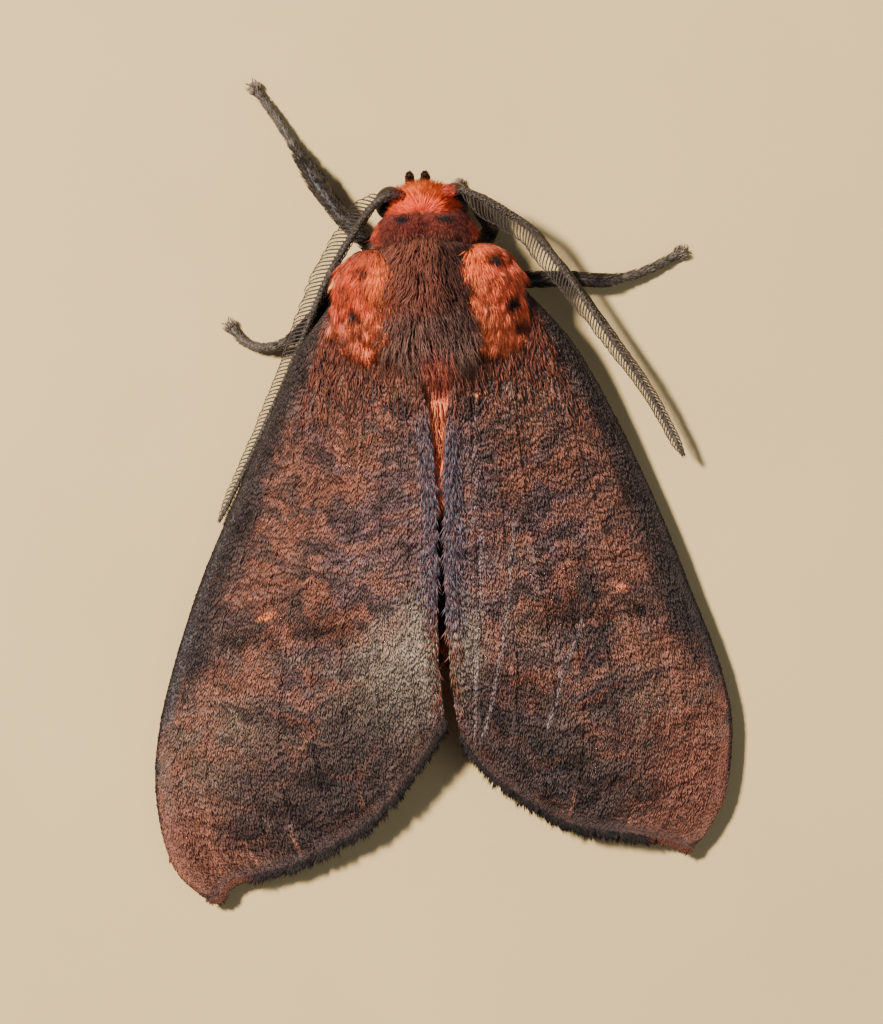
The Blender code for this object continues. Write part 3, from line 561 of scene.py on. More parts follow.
# %% [markdown]
# ## One skin for head, thorax and abdomen
#
# Under its hair a moth is a barrel in three lengths. A loft is the natural way to make it: a list of
# stations along the body, each with its half width, its lowest and its highest point, and an oval
# through them. Since one surface runs through all three lengths there is no seam at the neck or the
# waist. The abdomen's rings are a ripple on the half width.

# %% Body skin
BODY_STATIONS = [
    (-14.2, 0.12, 3.2, 3.5),
    (-14.1, 0.7, 2.65, 4.1),
    (-13.85, 1.12, 2.35, 4.5),
    (-13.45, 1.3, 2.3, 4.75),
    (-12.95, 1.35, 2.4, 4.95),
    (-12.55, 1.5, 2.4, 5.15),
    (-12.1, 1.95, 2.15, 5.4),
    (-11.4, 2.45, 1.75, 5.9),
    (-10.4, 3.0, 1.4, 6.35),
    (-9.3, 3.4, 1.25, 6.6),
    (-8.1, 3.35, 1.25, 6.6),
    (-7.0, 2.95, 1.3, 6.45),
    (-6.3, 2.6, 1.3, 6.1),
    (-5.6, 2.35, 1.2, 5.3),
    (-4.8, 2.25, 1.05, 4.75),
    (-3.0, 2.25, 0.95, 4.4),
    (0.5, 2.3, 0.75, 3.9),
]
HEAD_SPAN = (-14.2, -12.0)
TRUNK_SPAN = (-11.98, 8.58)
ABDOMEN_SPAN = (2.5, 8.58)
ABDOMEN_START = -6.2
ABDOMEN_LENGTH = 14.8
ABDOMEN_RINGS = 8
BODY_ROWS = 300
BODY_COLUMNS = 96


def abdomen_station(y):
    """Half width, lowest and highest point of the abdomen at this place along the body."""
    share = np.clip((y - ABDOMEN_START) / ABDOMEN_LENGTH, 0, 0.998)
    half = 2.4 * np.sqrt(1 - share**3) * (0.85 + 0.6 * share - 0.45 * share**2)
    half = np.maximum(half - 0.07 * np.cos(2 * np.pi * ABDOMEN_RINGS * share), 0.1)
    middle = 2.3 - 0.95 * share
    return np.stack([y, half, middle - 0.56 * half, middle + 0.56 * half], axis=-1)


def body_grid(rows, columns):
    """Rows of ovals along the body: x = half width cos a, z = middle + half height sin a."""
    stations = np.vstack([BODY_STATIONS, abdomen_station(np.linspace(*ABDOMEN_SPAN, 40))])
    head = np.linspace(*HEAD_SPAN, rows // 4)
    trunk = np.linspace(*TRUNK_SPAN, rows - rows // 4)
    y = np.concatenate([head, trunk])
    half, low, high = (np.interp(y, stations[:, 0], stations[:, k]) for k in (1, 2, 3))
    for line in (half, low, high) * 3:
        line[1:-1] = (line[:-2] + 2 * line[1:-1] + line[2:]) / 4
    a = np.linspace(-np.pi / 2, 3 * np.pi / 2, columns + 1)
    x = half[:, None] * np.cos(a)
    z = ((high + low) / 2)[:, None] + ((high - low) / 2)[:, None] * np.sin(a)
    return np.stack([x, np.broadcast_to(y[:, None], x.shape), z], axis=-1)


def closed_loft(grid):
    """A form from a grid whose last column repeats the first, with a fan of triangles at each end."""
    rows, columns = grid.shape[0], grid.shape[1] - 1
    ring = grid[:, :-1].reshape(-1, 3)
    count = len(ring)
    first, last = np.arange(columns), np.arange(columns) + count - columns
    caps = [
        np.stack([np.full(columns, count), first, np.roll(first, -1)], axis=1),
        np.stack([np.full(columns, count + 1), np.roll(last, -1), last], axis=1),
    ]
    points = np.vstack([ring, grid[0, :-1].mean(axis=0), grid[-1, :-1].mean(axis=0)])
    return points, [grid_quads(rows, columns, wrap=True), np.concatenate(caps)]


BODY = body_grid(BODY_ROWS, BODY_COLUMNS)
CELL_X = BODY[:-1, :-1, 0]
CELL_Y = BODY[:-1, 0, 1][:, None]
CELL_Z = BODY[:-1, :-1, 2]
print("body skin reaches from", BODY[0, 0].round(2), "to", BODY[-1, 0].round(2))

# %% [markdown]
# ## Collar and shoulder flaps
#
# Two small flaps, the patagia, make the collar behind the head, and two large ones, the tegulae,
# cover the wing roots like shoulder pads. In a furry moth they show as swells in the coat with a
# clear edge. Each is a lens here: a disc bent to lie on the dome, thickest in its middle. They are
# part of the one skin, and the coat grows from their upper side.

# %% Flap surfaces
PAD_RINGS = 24
PAD_TURNS = 64


def tegula_place(side, ring, turn):
    """Plan of a shoulder flap: a wedge with round corners, narrow in front and wide behind."""
    across = ring * np.sign(np.cos(turn)) * np.abs(np.cos(turn)) ** 0.6
    along = ring * np.sign(np.sin(turn)) * np.abs(np.sin(turn)) ** 0.75
    return side * (3.14 + 0.28 * along + (1.36 + 0.2 * along) * across), -8.95 + 2.45 * along


def patagium_place(side, ring, turn):
    """Plan of a collar flap: narrow in front and wide behind, its outer end a little farther back."""
    across = 1.12 * ring * np.cos(turn) * (1 + 0.28 * ring * np.sin(turn))
    return side * (1.2 + across), -12.5 + 0.75 * ring * np.sin(turn) + 0.2 * across


def pad_grid(place, side, lift, sink):
    """Upper side of a flap: the dome plus its lift, falling by the sink towards its rim."""
    ring = np.linspace(0.001, 1, PAD_RINGS)[:, None]
    turn = side * np.linspace(0, 2 * np.pi, PAD_TURNS + 1)[None]
    x, y = place(side, ring, turn)
    x, y = np.broadcast_arrays(x, y)
    return np.stack([x, y, dome(x, y) + lift - sink * ring**2], axis=-1)


PADS = {}
for word, side in SIDES.items():
    PADS[f"tegula_{word}"] = pad_grid(tegula_place, side, -0.45, 0.45)
    PADS[f"patagium_{word}"] = pad_grid(patagium_place, side, -0.35, 0.4)


def pad_form(grid):
    """A flap as a closed lens: its upper side, and a lower side that meets it at the rim."""
    ring = np.linspace(0, 1, len(grid))[:, None, None]
    under = grid - np.array([0, 0, 0.55]) * (1 - ring**2)
    shell = np.concatenate([grid, under[-2::-1]])
    return closed_loft(shell)


print("flaps:", ", ".join(PADS))

# %% [markdown]
# ## Body markings
#
# The head is orange red, the collar deep red brown with an orange rim and black spots, the shoulders
# are orange with black spots, and the back between them is brown. The back and the collar are painted
# darker on the moth's right, as the shade on the side away from the lamp, and the shoulder flaps are
# painted lighter on that side and at their rear tips, against the shade that falls there. The abdomen
# shows as an orange wedge between the wings, painted dark where the wings close over it, as the shade
# there. Each spot's place was read off the photograph and is given in millimetres from the moth's middle.

# %% Body colours
ORANGE = np.array([1.0, 0.175, 0.045])
DEEP_ORANGE = np.array([0.58, 0.064, 0.024])
LIGHT_ORANGE = np.array([1.0, 0.25, 0.1])
RED_ORANGE = np.array([1.0, 0.13, 0.055])
HEAD_RED = np.array([0.7, 0.055, 0.015])
HEAD_LIGHT = np.array([1.0, 0.15, 0.028])
RED_BROWN = np.array([0.145, 0.023, 0.0135])
BROWN = np.array([0.22, 0.066, 0.038])
SOFT_BROWN = np.array([0.175, 0.09, 0.065])
DARK_BROWN = np.array([0.05, 0.018, 0.011])
BLACK = np.array([0.012, 0.008, 0.006])
GREY = np.array([0.22, 0.19, 0.16])
BELLY = np.array([0.3, 0.17, 0.1])
ABDOMEN_ORANGE = np.array([1.0, 0.26, 0.115])
TUFT_RED = np.array([0.55, 0.13, 0.08])

SHOULDER_SPOTS = [
    ((3.54, -8.3), (0.27, 0.4), BLACK, 1.0),
    ((4.2, -7.1), (0.34, 0.3), GREY * 0.4, 0.7),
    ((3.04, -10.24), (0.42, 0.3), DARK_BROWN, 0.75),
    ((2.54, -8.59), (0.16, 0.22), DARK_BROWN, 0.8),
    ((-3.2, -10.37), (0.36, 0.28), BLACK, 1.0),
    ((-3.88, -8.51), (0.3, 0.42), BLACK, 1.0),
    ((-2.74, -8.23), (0.16, 0.2), DARK_BROWN, 0.85),
    ((-4.35, -7.3), (0.36, 0.42), BLACK, 0.85),
]
COLLAR_SPOTS = [
    ((1.03, -12.67), (0.3, 0.13), BLACK, 1.0),
    ((-1.02, -12.6), (0.32, 0.2), BLACK, 1.0),
    ((-0.18, -12.45), (0.12, 0.1), RED_BROWN * 0.4, 0.9),
]
BACK_PATCHES = [
    ((-1.1, -10.6), (0.55, 0.6), DARK_BROWN, 0.6),
    ((0.35, -9.6), (0.3, 0.25), DARK_BROWN, 0.6),
    ((-1.6, -9.0), (0.4, 0.8), DARK_BROWN, 0.6),
]


def ragged(points, size, seed, amount):
    """Places moved a little by smooth lumps, so that the edge of a marking isn't drawn sharp."""
    move = np.stack([lumps(points, size, seed), lumps(points, size, seed + 1)], axis=-1)
    return points[..., 0] + amount * move[..., 0], points[..., 1] + amount * move[..., 1]


def mottled(colours, points, seed, amount=0.3, size=0.5):
    """Colours made lighter and darker in soft patches."""
    coarse = lumps(points, size, seed)
    finer = lumps(points, np.asarray(size) * 0.35, seed + 5)
    return colours * (1 + amount * (coarse * 0.6 + finer * 0.4))[..., None]


def ovals(x, y, table, soft=0.35):
    """Layers for a table of ovals, each with its centre, half sizes, colour and share."""
    return [(colour, share * spot(x, y, centre, half, soft)) for centre, half, colour, share in table]


def shoulder_colours(points):
    """Shoulder flaps: brightest on a stripe inside, redder outside, ragged behind, with their spots."""
    x, y = ragged(points, 0.35, 11, 0.12)
    far = np.abs(x)
    left = x > 0
    stripe = np.exp(-(((far - 2.3) / 0.65) ** 2))
    rear = above(y, np.where(left, -8.6, -10.2), 0.5)
    # Painted light: the right flap and the rear tips are painted lighter to offset the shade that falls on
    # them.
    lighter = np.maximum(above(y, -8.1, 0.6), 0.5 * (x < 0))
    streak = lumps(points, (0.3, 1.6, 1), 17)
    layers = [
        (DEEP_ORANGE, 0.8 * (1 - stripe)),
        (RED_ORANGE, 0.8 * rear * (1 - 0.7 * stripe)),
        (LIGHT_ORANGE, 0.6 * lighter * above(y, -9.9, 0.9)),
        (BROWN, 0.95 * below(far, np.where(left, 1.5, 1.75), 0.4)),
        (BROWN, 0.9 * below(far, 2.4, 0.6) * above(y, -6.8, 0.6)),
        (RED_BROWN * 1.5, 0.75 * below(y, -10.6, 0.9) * np.where(left, 1, 0.4)),
        (BROWN, 0.55 * above(streak, 0.35, 0.3) * above(far, 2.9, 0.5)),
    ]
    layers += ovals(x, y, SHOULDER_SPOTS)
    return mottled(painted(plain(ORANGE, x.shape), layers), points, 21)


def collar_colours(points):
    """Collar flaps: dark red brown, orange at the outer sides and in front, with black spots."""
    x, y = ragged(points, 0.35, 13, 0.08)
    far = np.abs(x)
    layers = [
        (DEEP_ORANGE * 0.85, 0.8 * above(far, 2.05, 0.35)),
        (DEEP_ORANGE, 0.5 * below(y, -13.0, 0.25)),
        (BROWN * 0.9, 0.6 * above(y, -11.9, 0.5)),
        # Painted shade: the collar is darker on the moth's right, the side away from the lamp.
        (DARK_BROWN, 0.35 * below(x, -1.2, 0.8) * below(far, 2.2, 0.4)),
    ]
    layers += ovals(x, y, COLLAR_SPOTS)
    return mottled(painted(plain(RED_BROWN, x.shape), layers), points, 23)


def body_colours(points):
    """Head, back and abdomen, by the place along the body."""
    x, y = ragged(points, 0.5, 15, 0.15)
    z = points[..., 2]
    narrow = np.maximum(above(y, -4.4, 0.8), below(np.abs(x + 0.25), 0.6, 0.3))
    tuft = bump(y, -6.1, -4.9, 0.4) * below(np.abs(x + 0.2), 0.6, 0.3)
    rings = 0.5 + 0.5 * np.cos(2 * np.pi * ABDOMEN_RINGS * (y - ABDOMEN_START) / ABDOMEN_LENGTH)
    # Painted shade: the top of the abdomen where the wings close over it is painted dark, as the shade
    # there.
    between = bump(y, 0.9, 8.6, 0.7) * below(np.abs(x), 1.0, 0.3) * above(z, 2.0, 0.4)
    front = bump(x, -0.8, 1.0, 1.2) * below(y, -13.2, 0.5)
    layers = [
        # Painted shade: darker on the moth's right, the side away from the lamp; also a little darker just
        # behind the collar.
        (DARK_BROWN, 0.8 * below(x, -0.45, 1.1) + 0.2 * bump(y, -12.5, -11.3, 0.8)),
        (SOFT_BROWN, 0.7 * bump(y, -8, -5, 1.0)),
        *ovals(x, y, BACK_PATCHES, 0.7),
        (ABDOMEN_ORANGE, above(y, -5.6, 0.5) * narrow),
        (TUFT_RED, 0.7 * tuft),
        (DEEP_ORANGE, 0.35 * rings * above(y, -4, 1.0)),
        (RED_BROWN * 0.4, 0.95 * between),
        (BELLY, 0.85 * below(z, 1.9, 0.8) * above(y, -12.8, 0.6)),
        (HEAD_RED, below(y, -12.9, 0.3)),
        (HEAD_LIGHT, 0.8 * front),
        (DARK_BROWN, 0.5 * below(z, 2.7, 0.4) * below(y, -12.8, 0.5)),
    ]
    return mottled(painted(plain(BROWN, x.shape), layers), points, 25)


# %% Put the one skin in the scene
body_points, body_faces = closed_loft(BODY)
# Painted shade: the skin under the coat is painted darker than the coat, as the shade deep among the hairs.
skin = [form(body_points, body_faces, body_colours(body_points) * 0.85)]
for name, grid in PADS.items():
    pad_points, pad_faces = pad_form(grid)
    pad_colours = shoulder_colours if "tegula" in name else collar_colours
    skin.append(form(pad_points, pad_faces, pad_colours(pad_points) * 0.8))
piece(
    "body_skin", joined(skin), BODY_SKIN,
    ("thorax", "abdomen", "head", "patagium_left", "patagium_right", "tegula_left", "tegula_right"),
)

# %% [markdown]
# ## The coat
#
# The coat's look is all in how it lies. On the back it sweeps towards the tail and a little out to
# the sides. On the head it spreads from the crown, forward over the brow and out over the eyes. On
# the flaps it fans out to their rims. So each part gets its own lie, a direction field worked out
# from the place, and a length and a rise, while the same tuft maker serves them all. Random sway
# parts the tufts into wisps, which neighbours share because a smooth noise leads them together.

# %% Wisps and the back
def wisps(points, lie, size, seed, amount=0.25):
    """A lie turned aside by smooth lumps, so that tufts near each other draw together in wisps."""
    turn = np.stack([lumps(points, size, seed + k) for k in range(3)], axis=-1)
    return lie + amount * turn


def back_coat(count, rng):
    """Long hair over the thorax, swept back, longest behind and lowest beside the shoulder flaps."""
    share = bump(CELL_Y, -12.75, -5.0, 0.5) * (0.35 + 0.65 * (CELL_Z > 2.4))
    places, out, u, v = scatter(BODY, count, rng, share)
    lie = np.stack([places[:, 0] * 0.1, np.ones(count), -0.15 * np.abs(places[:, 0])], axis=1)
    lie = wisps(places, lie, 0.8, 31, 0.35)
    lie = wisps(places, lie, 0.3, 34, 0.42)
    behind = bump(places[:, 1], -7.4, -4, 1.2)
    under = below(places[:, 2], 2.6, 0.8)
    length = rng.uniform(0.6, 1.25, count) * (1 + 0.9 * behind) * (1 - 0.3 * under)
    rise = 0.28 + 0.14 * lumps(places, 0.5, 33) - 0.08 * behind - 0.1 * under
    crest = above(places[:, 2], BODY[..., 2].max() - 0.8, 0.5)
    length = length * (1 + 0.1 * crest)
    rise = rise + 0.34 * crest
    shown = places + laid(lie, out) * length[:, None] * 0.5
    tint = body_colours(shown) * rng.uniform(0.85, 1.15, (count, 1))
    return tufts(places, out, lie, u, v, length, rng.uniform(0.032, 0.058, count), rise, tint, rng)


BACK_TUFTS = 16500
rng = np.random.default_rng(101)
piece("back_coat", back_coat(BACK_TUFTS, rng), BODY_COAT)


# %% [markdown]
# ## The abdomen's coat
#
# Only a narrow wedge of the abdomen shows, between the wing roots. Its hair is longest there and
# stands up as a small crest. The sides lie under the wings, where short sparse hair is enough.

# %% Abdomen coat
def abdomen_coat(count, rng):
    """Shaggy along the top, where it shows between the wings, close at the sides, a tuft behind."""
    top = (CELL_Z > 2.2) & (np.abs(CELL_X) < 1.1)
    share = above(CELL_Y, -5.6, 0.5) * (0.5 + 1.8 * top * (CELL_Y < 3) + 1.5 * (CELL_Y > 7))
    places, out, u, v = scatter(BODY, count, rng, share)
    lie = np.stack([places[:, 0] * 0.02, np.ones(count), 0.05 * np.ones(count)], axis=1)
    lie = wisps(places, lie, 0.5, 41, 0.3)
    crest = bump(places[:, 1], -6.5, 0.6, 1.2) * bump(places[:, 0], -0.9, 0.8, 0.5) * (places[:, 2] > 2.4)
    tail = above(places[:, 1], 7.2, 0.8)
    length = rng.uniform(0.4, 0.7, count) * (1 + 1.7 * crest + 0.9 * tail)
    rise = 0.2 + 0.65 * crest + 0.12 * lumps(places, 0.6, 43)
    tint = body_colours(places) * rng.uniform(0.75, 1.15, (count, 1))
    return tufts(places, out, lie, u, v, length, rng.uniform(0.06, 0.1, count), rise, tint, rng)


ABDOMEN_TUFTS = 9500
rng = np.random.default_rng(102)
piece("abdomen_coat", abdomen_coat(ABDOMEN_TUFTS, rng), BODY_COAT)


# %% [markdown]
# ## The head's coat
#
# On the head the hair parts at the crown. A lie that points away from one place on top gives that
# at once, with a pull to the front that lets the brow hang over the face.

# %% Head coat
CROWN = np.array([0.08, -12.95, 4.9])
HEAD_TUFTS = 11000


def head_coat(count, rng):
    """Hair that spreads from the crown, forward over the brow, out over the eyes, back to the collar."""
    share = below(CELL_Y, -12.75, 0.3) * (0.3 + 1.2 * (CELL_Z > 3.6))
    places, out, u, v = scatter(BODY, count, rng, share)
    away = places - CROWN
    lie = np.stack([away[:, 0] * 1.2, away[:, 1] * 1.1, away[:, 2] * 0.6], axis=1)
    lie = unit(lie) + [0, -0.3, 0]
    lie = wisps(places, lie, 0.3, 51, 0.35)
    low = below(places[:, 2], 3.4, 0.8)
    front = below(places[:, 1], -13.3, 0.4) * (places[:, 2] > 3.4)
    length = rng.uniform(0.5, 1.15, count) * (1 - 0.55 * low) * (1 - 0.1 * front)
    rise = 0.46 + 0.2 * lumps(places, 0.4, 53) - 0.25 * low
    tint = body_colours(places) * rng.uniform(0.72, 1.28, (count, 1))
    return tufts(places, out, lie, u, v, length, rng.uniform(0.028, 0.055, count), rise, tint, rng)


rng = np.random.default_rng(103)
piece("head_coat", head_coat(HEAD_TUFTS, rng), BODY_COAT)


# %% [markdown]
# ## Collar and shoulder coats
#
# Each flap's hair starts on its upper side and fans out to its hind rim, and there it reaches past
# the flap. That soft overlap makes the clear step between collar, shoulders and back.

# %% Collar and shoulder coats
def pad_coat(name, colours, count, rng, reach, rise, width):
    """Hair of a flap: swept back and fanned out from its middle, longest along its hind rim."""
    grid = PADS[name]
    places, out, u, v = scatter(grid, count, rng)
    out = out * np.where(out[:, 2:] < 0, -1, 1)
    middle = grid[0, 0]
    fan = (places - middle) * [0.2, 0.1, 0.0]
    lie = np.stack([fan[:, 0], 1 + fan[:, 1], 0 * fan[:, 2]], axis=1)
    lie = wisps(places, lie, 0.4, 61, 0.4)
    length = reach * rng.uniform(0.6, 1.2, count) * (0.9 + 0.15 * u)
    lift = rise + 0.22 * lumps(places, 0.45, 63) - 0.12 * u
    shown = places + laid(lie, out) * length[:, None] * 0.5
    tint = colours(shown) * rng.uniform(0.75, 1.25, (count, 1))
    return tufts(places, out, lie, u, v, length, rng.uniform(*width, count), lift, tint, rng)


COLLAR_TUFTS = 4000
SHOULDER_TUFTS = 9000
rng = np.random.default_rng(104)
collar = [
    pad_coat(f"patagium_{word}", collar_colours, COLLAR_TUFTS, rng, 0.5, 0.4, (0.035, 0.06))
    for word in SIDES
]
piece("collar_coat", joined(collar), BODY_COAT)
for word in SIDES:
    flap = f"tegula_{word}"
    shoulder = pad_coat(flap, shoulder_colours, SHOULDER_TUFTS, rng, 1.0, 0.42, (0.03, 0.058))
    piece(f"shoulder_coat_{word}", shoulder, BODY_COAT)

# %% [markdown]
# ## Folded forewings
#
# A forewing is a thin stiff sheet. Seen from above its outline is three smooth lines: the leading
# edge or costa, the inner margin that meets the other wing over the back, and the outer margin
# behind. A patch stretched between those lines gives every place on the wing two numbers, the share
# along it from the base and the share across it from the inner margin. Height comes from the roof.
# Because both numbers follow the wing, the veins and the markings can be placed by them.

# %% Wing outlines and roof
WING_OUTLINES = {
    "left": {
        "costa": [
            (4.42, -9.24), (6.48, -6.75), (8.13, -3.61), (10.08, 0.35), (11.97, 4.22), (13.47, 8.06),
            (14.43, 11.19), (14.85, 14.11), (14.61, 16.93), (13.89, 18.83), (12.45, 20.2),
        ],
        "inner": [
            (3.1, -9.4), (1.72, -7.46), (0.85, -5.4), (0.47, -3.9), (0.27, -1.97), (0.22, 0.98),
            (0.38, 5.0), (0.54, 8.8), (0.36, 11.86),
        ],
        "outer": [
            (0.36, 11.86), (1.6, 13.6), (3.92, 16.35), (5.78, 17.56), (8.0, 18.55), (10.17, 19.0),
            (11.27, 19.38), (11.82, 20.08), (12.45, 20.2),
        ],
    },
    "right": {
        "costa": [
            (-4.55, -9.24), (-6.86, -6.48), (-8.74, -2.88), (-10.65, 1.79), (-12.1, 6.1), (-13.3, 9.8),
            (-13.75, 12.8), (-13.3, 16.03), (-12.35, 17.89), (-11.35, 18.95),
        ],
        "inner": [
            (-3.2, -9.3), (-1.94, -7.25), (-1.11, -5.58), (-0.72, -3.89), (-0.46, -1.94), (-0.24, 0.98),
            (-0.06, 4.5), (-0.02, 8.0), (-0.12, 10.8), (-0.36, 12.59),
        ],
        "outer": [
            (-0.36, 12.59), (-1.44, 14.25), (-2.97, 15.73), (-5.38, 17.33), (-8.54, 18.06),
            (-10.32, 18.61), (-10.89, 18.98), (-11.35, 18.95),
        ],
    },
}
ROOF_RIDGE = 6.1
ROOF_RIDGE_FALL = 0.19
ROOF_RIDGE_START = -5.0
COSTA_LOW = 0.95
COSTA_RISE = 2.7
COSTA_FADE = 5.0
WING_BASE_Y = -9.2
ROOF_CURVE = 1.3
COSTAS = [smooth_path(WING_OUTLINES[word]["costa"], 120) for word in WING_OUTLINES]
EDGE_STEPS = 240


def costa_reach(y):
    """How far out the farther of the two leading edges lies at this place along the body."""
    reaches = []
    for costa in COSTAS:
        ordered = costa[np.argsort(costa[:, 1])]
        reaches.append(np.interp(y, ordered[:, 1], np.abs(ordered[:, 0])))
    return np.maximum(*reaches)


def roof(x, y):
    """Height of the folded wings: from the ridge down to the eave by 1 - (share out)^1.3."""
    ridge = ROOF_RIDGE - ROOF_RIDGE_FALL * np.maximum(y - ROOF_RIDGE_START, 0)
    eave = COSTA_LOW + COSTA_RISE * np.exp(-np.maximum(y - WING_BASE_Y, -1.0) / COSTA_FADE)
    share = np.clip(np.abs(x) / costa_reach(y), 0, 1.2)
    return eave + (ridge - eave) * (1 - share**ROOF_CURVE)


def on_line(line, share):
    """The places on an evenly stepped line at these shares of its length."""
    steps = np.linspace(0, 1, len(line))
    return np.stack([np.interp(share, steps, column) for column in line.T], axis=-1)


def patch(outline, along, across):
    """A sheet stretched between three lines and a straight base.

    It is the blend of the two long edges, plus the blend of the two short ones, less the blend of
    the four corners, which both of them count.
    """
    inner, costa, outer = (smooth_path(outline[key], EDGE_STEPS) for key in ("inner", "costa", "outer"))
    s, t = along[:, None, None], across[None, :, None]
    base = inner[0] + (costa[0] - inner[0]) * across[:, None]
    long_edges = (1 - t) * on_line(inner, along)[:, None] + t * on_line(costa, along)[:, None]
    short_edges = (1 - s) * base[None] + s * on_line(outer, across)[None]
    near = (1 - t) * inner[0] + t * costa[0]
    far = (1 - t) * inner[-1] + t * costa[-1]
    return long_edges + short_edges - ((1 - s) * near + s * far)


# %% [markdown]
# ## Veins
#
# The veins stiffen the wing like the ribs of an umbrella. From above they fan out from the base, and
# a cross vein closes the long cell halfway along. They are raised in the wing's own surface, as a
# smooth ridge over a narrow width, and the film sags a little between them.

# %% Wing surfaces
VEINS = [
    (0.13, 0.1, 0.97), (0.27, 0.36, 0.98), (0.4, 0.08, 0.98), (0.51, 0.52, 0.98),
    (0.61, 0.52, 0.98), (0.71, 0.08, 0.98), (0.84, 0.3, 0.97),
]
CELL_END = 0.52
WING_ROWS = 150
WING_COLUMNS = 90
SKIN_HALF = 0.1


def vein_height(s, t):
    """Ridges 0.09 high where a vein runs, a sag of 0.03 between, and the cross vein."""
    ridge = np.zeros(np.broadcast(s, t).shape)
    for across, start, end in VEINS:
        run = bump(s, start, end, 0.08)
        wander = across + 0.006 * np.sin(9 * s + 20 * across)
        ridge = np.maximum(ridge, run * np.exp(-(((t - wander) / 0.007) ** 2)))
    cross = np.exp(-(((s - CELL_END - 0.02 * np.sin(12 * t)) / 0.004) ** 2)) * bump(t, 0.4, 0.71, 0.02)
    ridge = np.maximum(ridge, 0.7 * cross)
    return 0.09 * ridge - 0.03 * (1 - ridge) * np.sin(np.pi * np.clip(t, 0, 1))


def wing_grid(word, along, across):
    """The middle sheet of a folded forewing, with its upward directions."""
    plan = patch(WING_OUTLINES[word], along, across)
    sheet = np.concatenate([plan, roof(plan[..., 0], plan[..., 1])[..., None]], axis=-1)
    out = np.cross(np.gradient(sheet, axis=0), np.gradient(sheet, axis=1))
    out = unit(out * np.where(out[..., 2:] < 0, -1, 1))
    return sheet, out


def shell_form(top, under, colours):
    """Two grids of points closed by a rim into one thin shell."""
    rows, columns = top.shape[:2]
    number = np.arange(rows * columns).reshape(rows, columns)
    rim = np.concatenate([number[:-1, 0], number[-1, :-1], number[:0:-1, -1], number[0, :0:-1]])
    after = np.roll(rim, -1)
    lower = rows * columns
    quads = grid_quads(rows, columns)
    wall = np.stack([after, rim, rim + lower, after + lower], axis=1)
    points = np.vstack([top.reshape(-1, 3), under.reshape(-1, 3)])
    return form(points, [quads, quads[:, ::-1] + lower, wall], colours)


ALONG = np.linspace(0, 1, WING_ROWS)
ACROSS = np.linspace(0, 1, WING_COLUMNS)
WINGS = {}
for word in SIDES:
    sheet, out = wing_grid(word, ALONG, ACROSS)
    relief = vein_height(ALONG[:, None], ACROSS[None])[..., None]
    thin = (0.35 + 0.65 * bump(ACROSS, 0.02, 0.99, 0.04))[None, :, None]
    WINGS[word] = {
        "top": sheet + out * (SKIN_HALF * thin + relief),
        "under": sheet - out * SKIN_HALF * thin,
    }
    print(word, "forewing", np.ptp(sheet.reshape(-1, 3), axis=0).round(1), "mm")

# %% [markdown]
# ## Wing markings
#
# At rest the forewings are a mottle of rust and brown, so that the moth is hard to see on bark. The
# map below is written in the wing's own two numbers. Soft ovals and bands give the large fields: a
# dark strip along the costa, a rust field with a small pale spot in the middle, violet grey hair on
# the inner margin, a grey green field behind it, a dark band before the outer margin and a salmon
# patch at the tip. Lumps stretched across the wing give the fine wavy bars.

# %% Wing colours
WING_BROWN = np.array([0.178, 0.062, 0.038])
WING_RUST = np.array([0.22, 0.071, 0.036])
WING_DARK = np.array([0.038, 0.024, 0.02])
WING_UMBER = np.array([0.072, 0.038, 0.029])
WING_VIOLET = np.array([0.15, 0.08, 0.08])
WING_BLUE = np.array([0.105, 0.085, 0.1])
WING_GREEN = np.array([0.25, 0.18, 0.12])
WING_TAN = np.array([0.2, 0.115, 0.072])
WING_VEIN = np.array([0.33, 0.23, 0.2])
WING_SPOT = np.array([0.85, 0.22, 0.07])
WING_SALMON = np.array([0.22, 0.068, 0.036])
WING_PALE = np.array([0.6, 0.21, 0.1])

